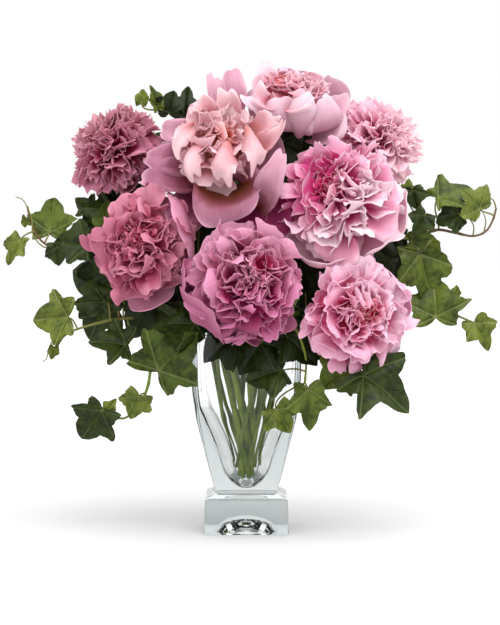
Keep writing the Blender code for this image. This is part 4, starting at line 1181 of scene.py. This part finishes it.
def make_peony_leaves(bloom, line, green, stem_green):
    """Dark three-part leaves up a peony's stem, which fill the bouquet between its blooms."""
    rng = np.random.default_rng(int(bloom.rim_angle) + FOLIAGE_SEED)
    above = line[line[:, 2] > RIM_Z + 4]
    for k, share in enumerate(np.linspace(0.04, 0.84, LEAVES_PER_STEM)):
        foot = above[int(share * (len(above) - 1))]
        turn = math.radians(bloom.rim_angle + rng.uniform(-50, 50))
        tip = unit((math.cos(turn), math.sin(turn), rng.uniform(-0.45, 0.2) + 1.3 * share))
        face = unit((rng.normal(0, 0.3), -0.6 if math.sin(turn) < 0.3 else 0.6, 0.8))
        leaf = (foot + tip * 12, tip, face, rng.uniform(36, 48), rng.uniform(1.0, 1.3), 1.0)
        make_leaf(f"peony_{bloom.name}_leaf_{k + 1}", line, leaf, green, stem_green, [], rng, LEAFLETS)


# --- the vase -------------------------------------------------------------------------------------

def square_ring(half, corner, count=24):
    """Points round a square with round corners: count of them from one corner's middle to the next."""
    t = np.linspace(0, 1, count, endpoint=False)
    arc = min(0.5, 0.18 + 0.32 * corner / half)
    angle = 45 - np.clip(t / arc, 0, 1) * 45
    angle = np.where(t > 1 - arc, -np.clip((t - 1 + arc) / arc, 0, 1) * 45, np.where(t < arc, angle, 0))
    straight = np.clip((t - arc) / max(1 - 2 * arc, 1e-6), 0, 1)
    x = half - corner + corner * np.cos(np.radians(angle))
    y = corner * np.sin(np.radians(angle)) + (half - corner) * (1 - 2 * straight)
    side = np.stack([x, y], axis=1)
    quarter = np.array([[0, -1], [1, 0]])
    return np.vstack([side @ np.linalg.matrix_power(quarter, turns) for turns in range(4)])


def wall(knots, steps):
    """Heights up one wall of the vase, with its half width and its third value at each."""
    spots, _, third = np.array(knots).T
    heights = np.unique(np.concatenate([spots, np.linspace(spots[0], RIM_Z, steps)]))
    return heights, smooth_rise([k[:2] for k in knots], heights), np.interp(heights, spots, third)


def make_vase():
    """The vase as one body of glass: dished underside, square foot, flared walls and rounded hollow."""
    heights, half, roundness = wall(HOLLOW, 70)
    hollow = list(zip(heights, half, half * roundness))
    rings = [(z, half, half * roundness) for z, half, roundness in UNDERSIDE]
    rings += [*zip(*wall(OUTSIDE, 90)), *hollow[::-1]]
    grid = np.array([[(x, y, z) for x, y in square_ring(half, corner)] for z, half, corner in rings])
    sheets = Sheets()
    sheets.add(grid[:, ::-1], wrap=True, ends=2)
    vase = add_piece("glass_vase_clear", sheets, glass_finish("clear_glass"), ["glass_vase"])
    vase.data.set_sharp_from_angle(angle=math.radians(GLASS_CREASE))


# --- stage, light and camera: metres and degrees --------------------------------------------------

FLOOR_HALF = 9.0
FLOOR_GAP = 0.0002                # how far the floor lies under the foot
LIT_SPOT = (0.0, 0.0, 0.28)
EYE = (0.0037, -2.1, 0.314)
LOOK_AT = (0.0037, 0.0, 0.2175)
LENS, SENSOR = 121.0, 36.0        # millimetres
WHITE = (1.0, 1.0, 1.0, 1.0)

# Suns: where each shines from, its width in the sky, and its power.
SUNS = {"key_light": ((0.45, -0.9, 2.2), 50, 2.0), "fill_light": ((-0.3, -2.0, 0.7), 60, 0.9)}
# How bright the sky is: brighter behind the part and brightest overhead. Along each of these axes the
# brightness rises between two places from a dim value to a bright one.
SKY = {"Y": (0.05, 0.5, 0.66, 1.0), "Z": (0.4, 0.8, 0.66, 1.6)}


def make_stage():
    """A plain pale floor, a white sky, a large soft light from the upper right and a weak fill."""
    mesh = bpy.data.meshes.new("floor")
    far = FLOOR_HALF
    corners = [(x, y, -FLOOR_GAP) for x, y in ((-far, -far), (far, -far), (far, far), (-far, far))]
    mesh.from_pydata(corners, [], [(0, 1, 2, 3)])
    floor = bpy.data.objects.new("floor", mesh)
    bpy.context.scene.collection.objects.link(floor)
    f = Finish("floor_white")
    grain = f.noise(8.0, 2.0)
    color = f.mix(grain, (0.57, 0.57, 0.57, 1.0), (0.59, 0.59, 0.59, 1.0))
    mesh.materials.append(f.surface(color, 0.8, f.bump(grain, 0.02, 0.1), Specular_IOR_Level=0.2,
                                    Emission_Color=WHITE, Emission_Strength=0.08))
    make_sky()
    for name, (place, spread, power) in SUNS.items():
        add_sun(name, place, spread, power)


def make_sky():
    """A white backdrop behind, a softbox overhead, and the dimmer room on the camera's side."""
    world = bpy.data.worlds.new("studio")
    world.use_nodes = True
    nodes = world.node_tree.nodes
    links = world.node_tree.links
    way_out = nodes.new("ShaderNodeTexCoord")
    axes = nodes.new("ShaderNodeSeparateXYZ")
    links.new(way_out.outputs["Generated"], axes.inputs[0])
    brighter = nodes.new("ShaderNodeMath")
    brighter.operation = "MAXIMUM"
    for number, (axis, values) in enumerate(SKY.items()):
        span = nodes.new("ShaderNodeMapRange")
        span.interpolation_type = "SMOOTHSTEP"
        for socket, value in zip(("From Min", "From Max", "To Min", "To Max"), values):
            span.inputs[socket].default_value = value
        links.new(axes.outputs[axis], span.inputs["Value"])
        links.new(span.outputs[0], brighter.inputs[number])
    links.new(brighter.outputs[0], nodes["Background"].inputs["Strength"])
    nodes["Background"].inputs["Color"].default_value = WHITE
    bpy.context.scene.world = world


def add_aimed(name, data, place, target):
    """Puts a light or a camera in the scene, turned to its target."""
    made = bpy.data.objects.new(name, data)
    made.location = place
    made.rotation_euler = (Vector(target) - Vector(place)).to_track_quat("-Z", "Y").to_euler()
    bpy.context.scene.collection.objects.link(made)
    return made


def add_sun(name, place, spread, power):
    """A sun that shines on the bouquet; its width in the sky softens the shadows."""
    light = bpy.data.lights.new(name, "SUN")
    light.angle = math.radians(spread)
    light.energy = power
    add_aimed(name, light, place, LIT_SPOT)


def make_camera():
    """The view of the photograph: level with the bouquet, looking slightly down."""
    camera = bpy.data.cameras.new("camera")
    camera.lens = LENS
    camera.sensor_width = SENSOR
    bpy.context.scene.camera = add_aimed("camera", camera, EYE, LOOK_AT)
    bpy.context.scene.view_settings.view_transform = "Standard"


make_camera()
make_stage()
make_vase()
blooms = make_peonies()
stem_green = stalk_finish("peony_stem")
# The peony leaves take the deep green, partly painted shade of the bouquet's depths.
lance_green = leaf_finish("peony_leaf", GREENS["deep"], LANCE_RIBS)
for bloom in blooms:
    stem_line = make_stem(bloom, stem_green)
    make_peony_leaves(bloom, stem_line, lance_green, stem_green)
make_ivy(stalk_finish("leaf_stalk"))
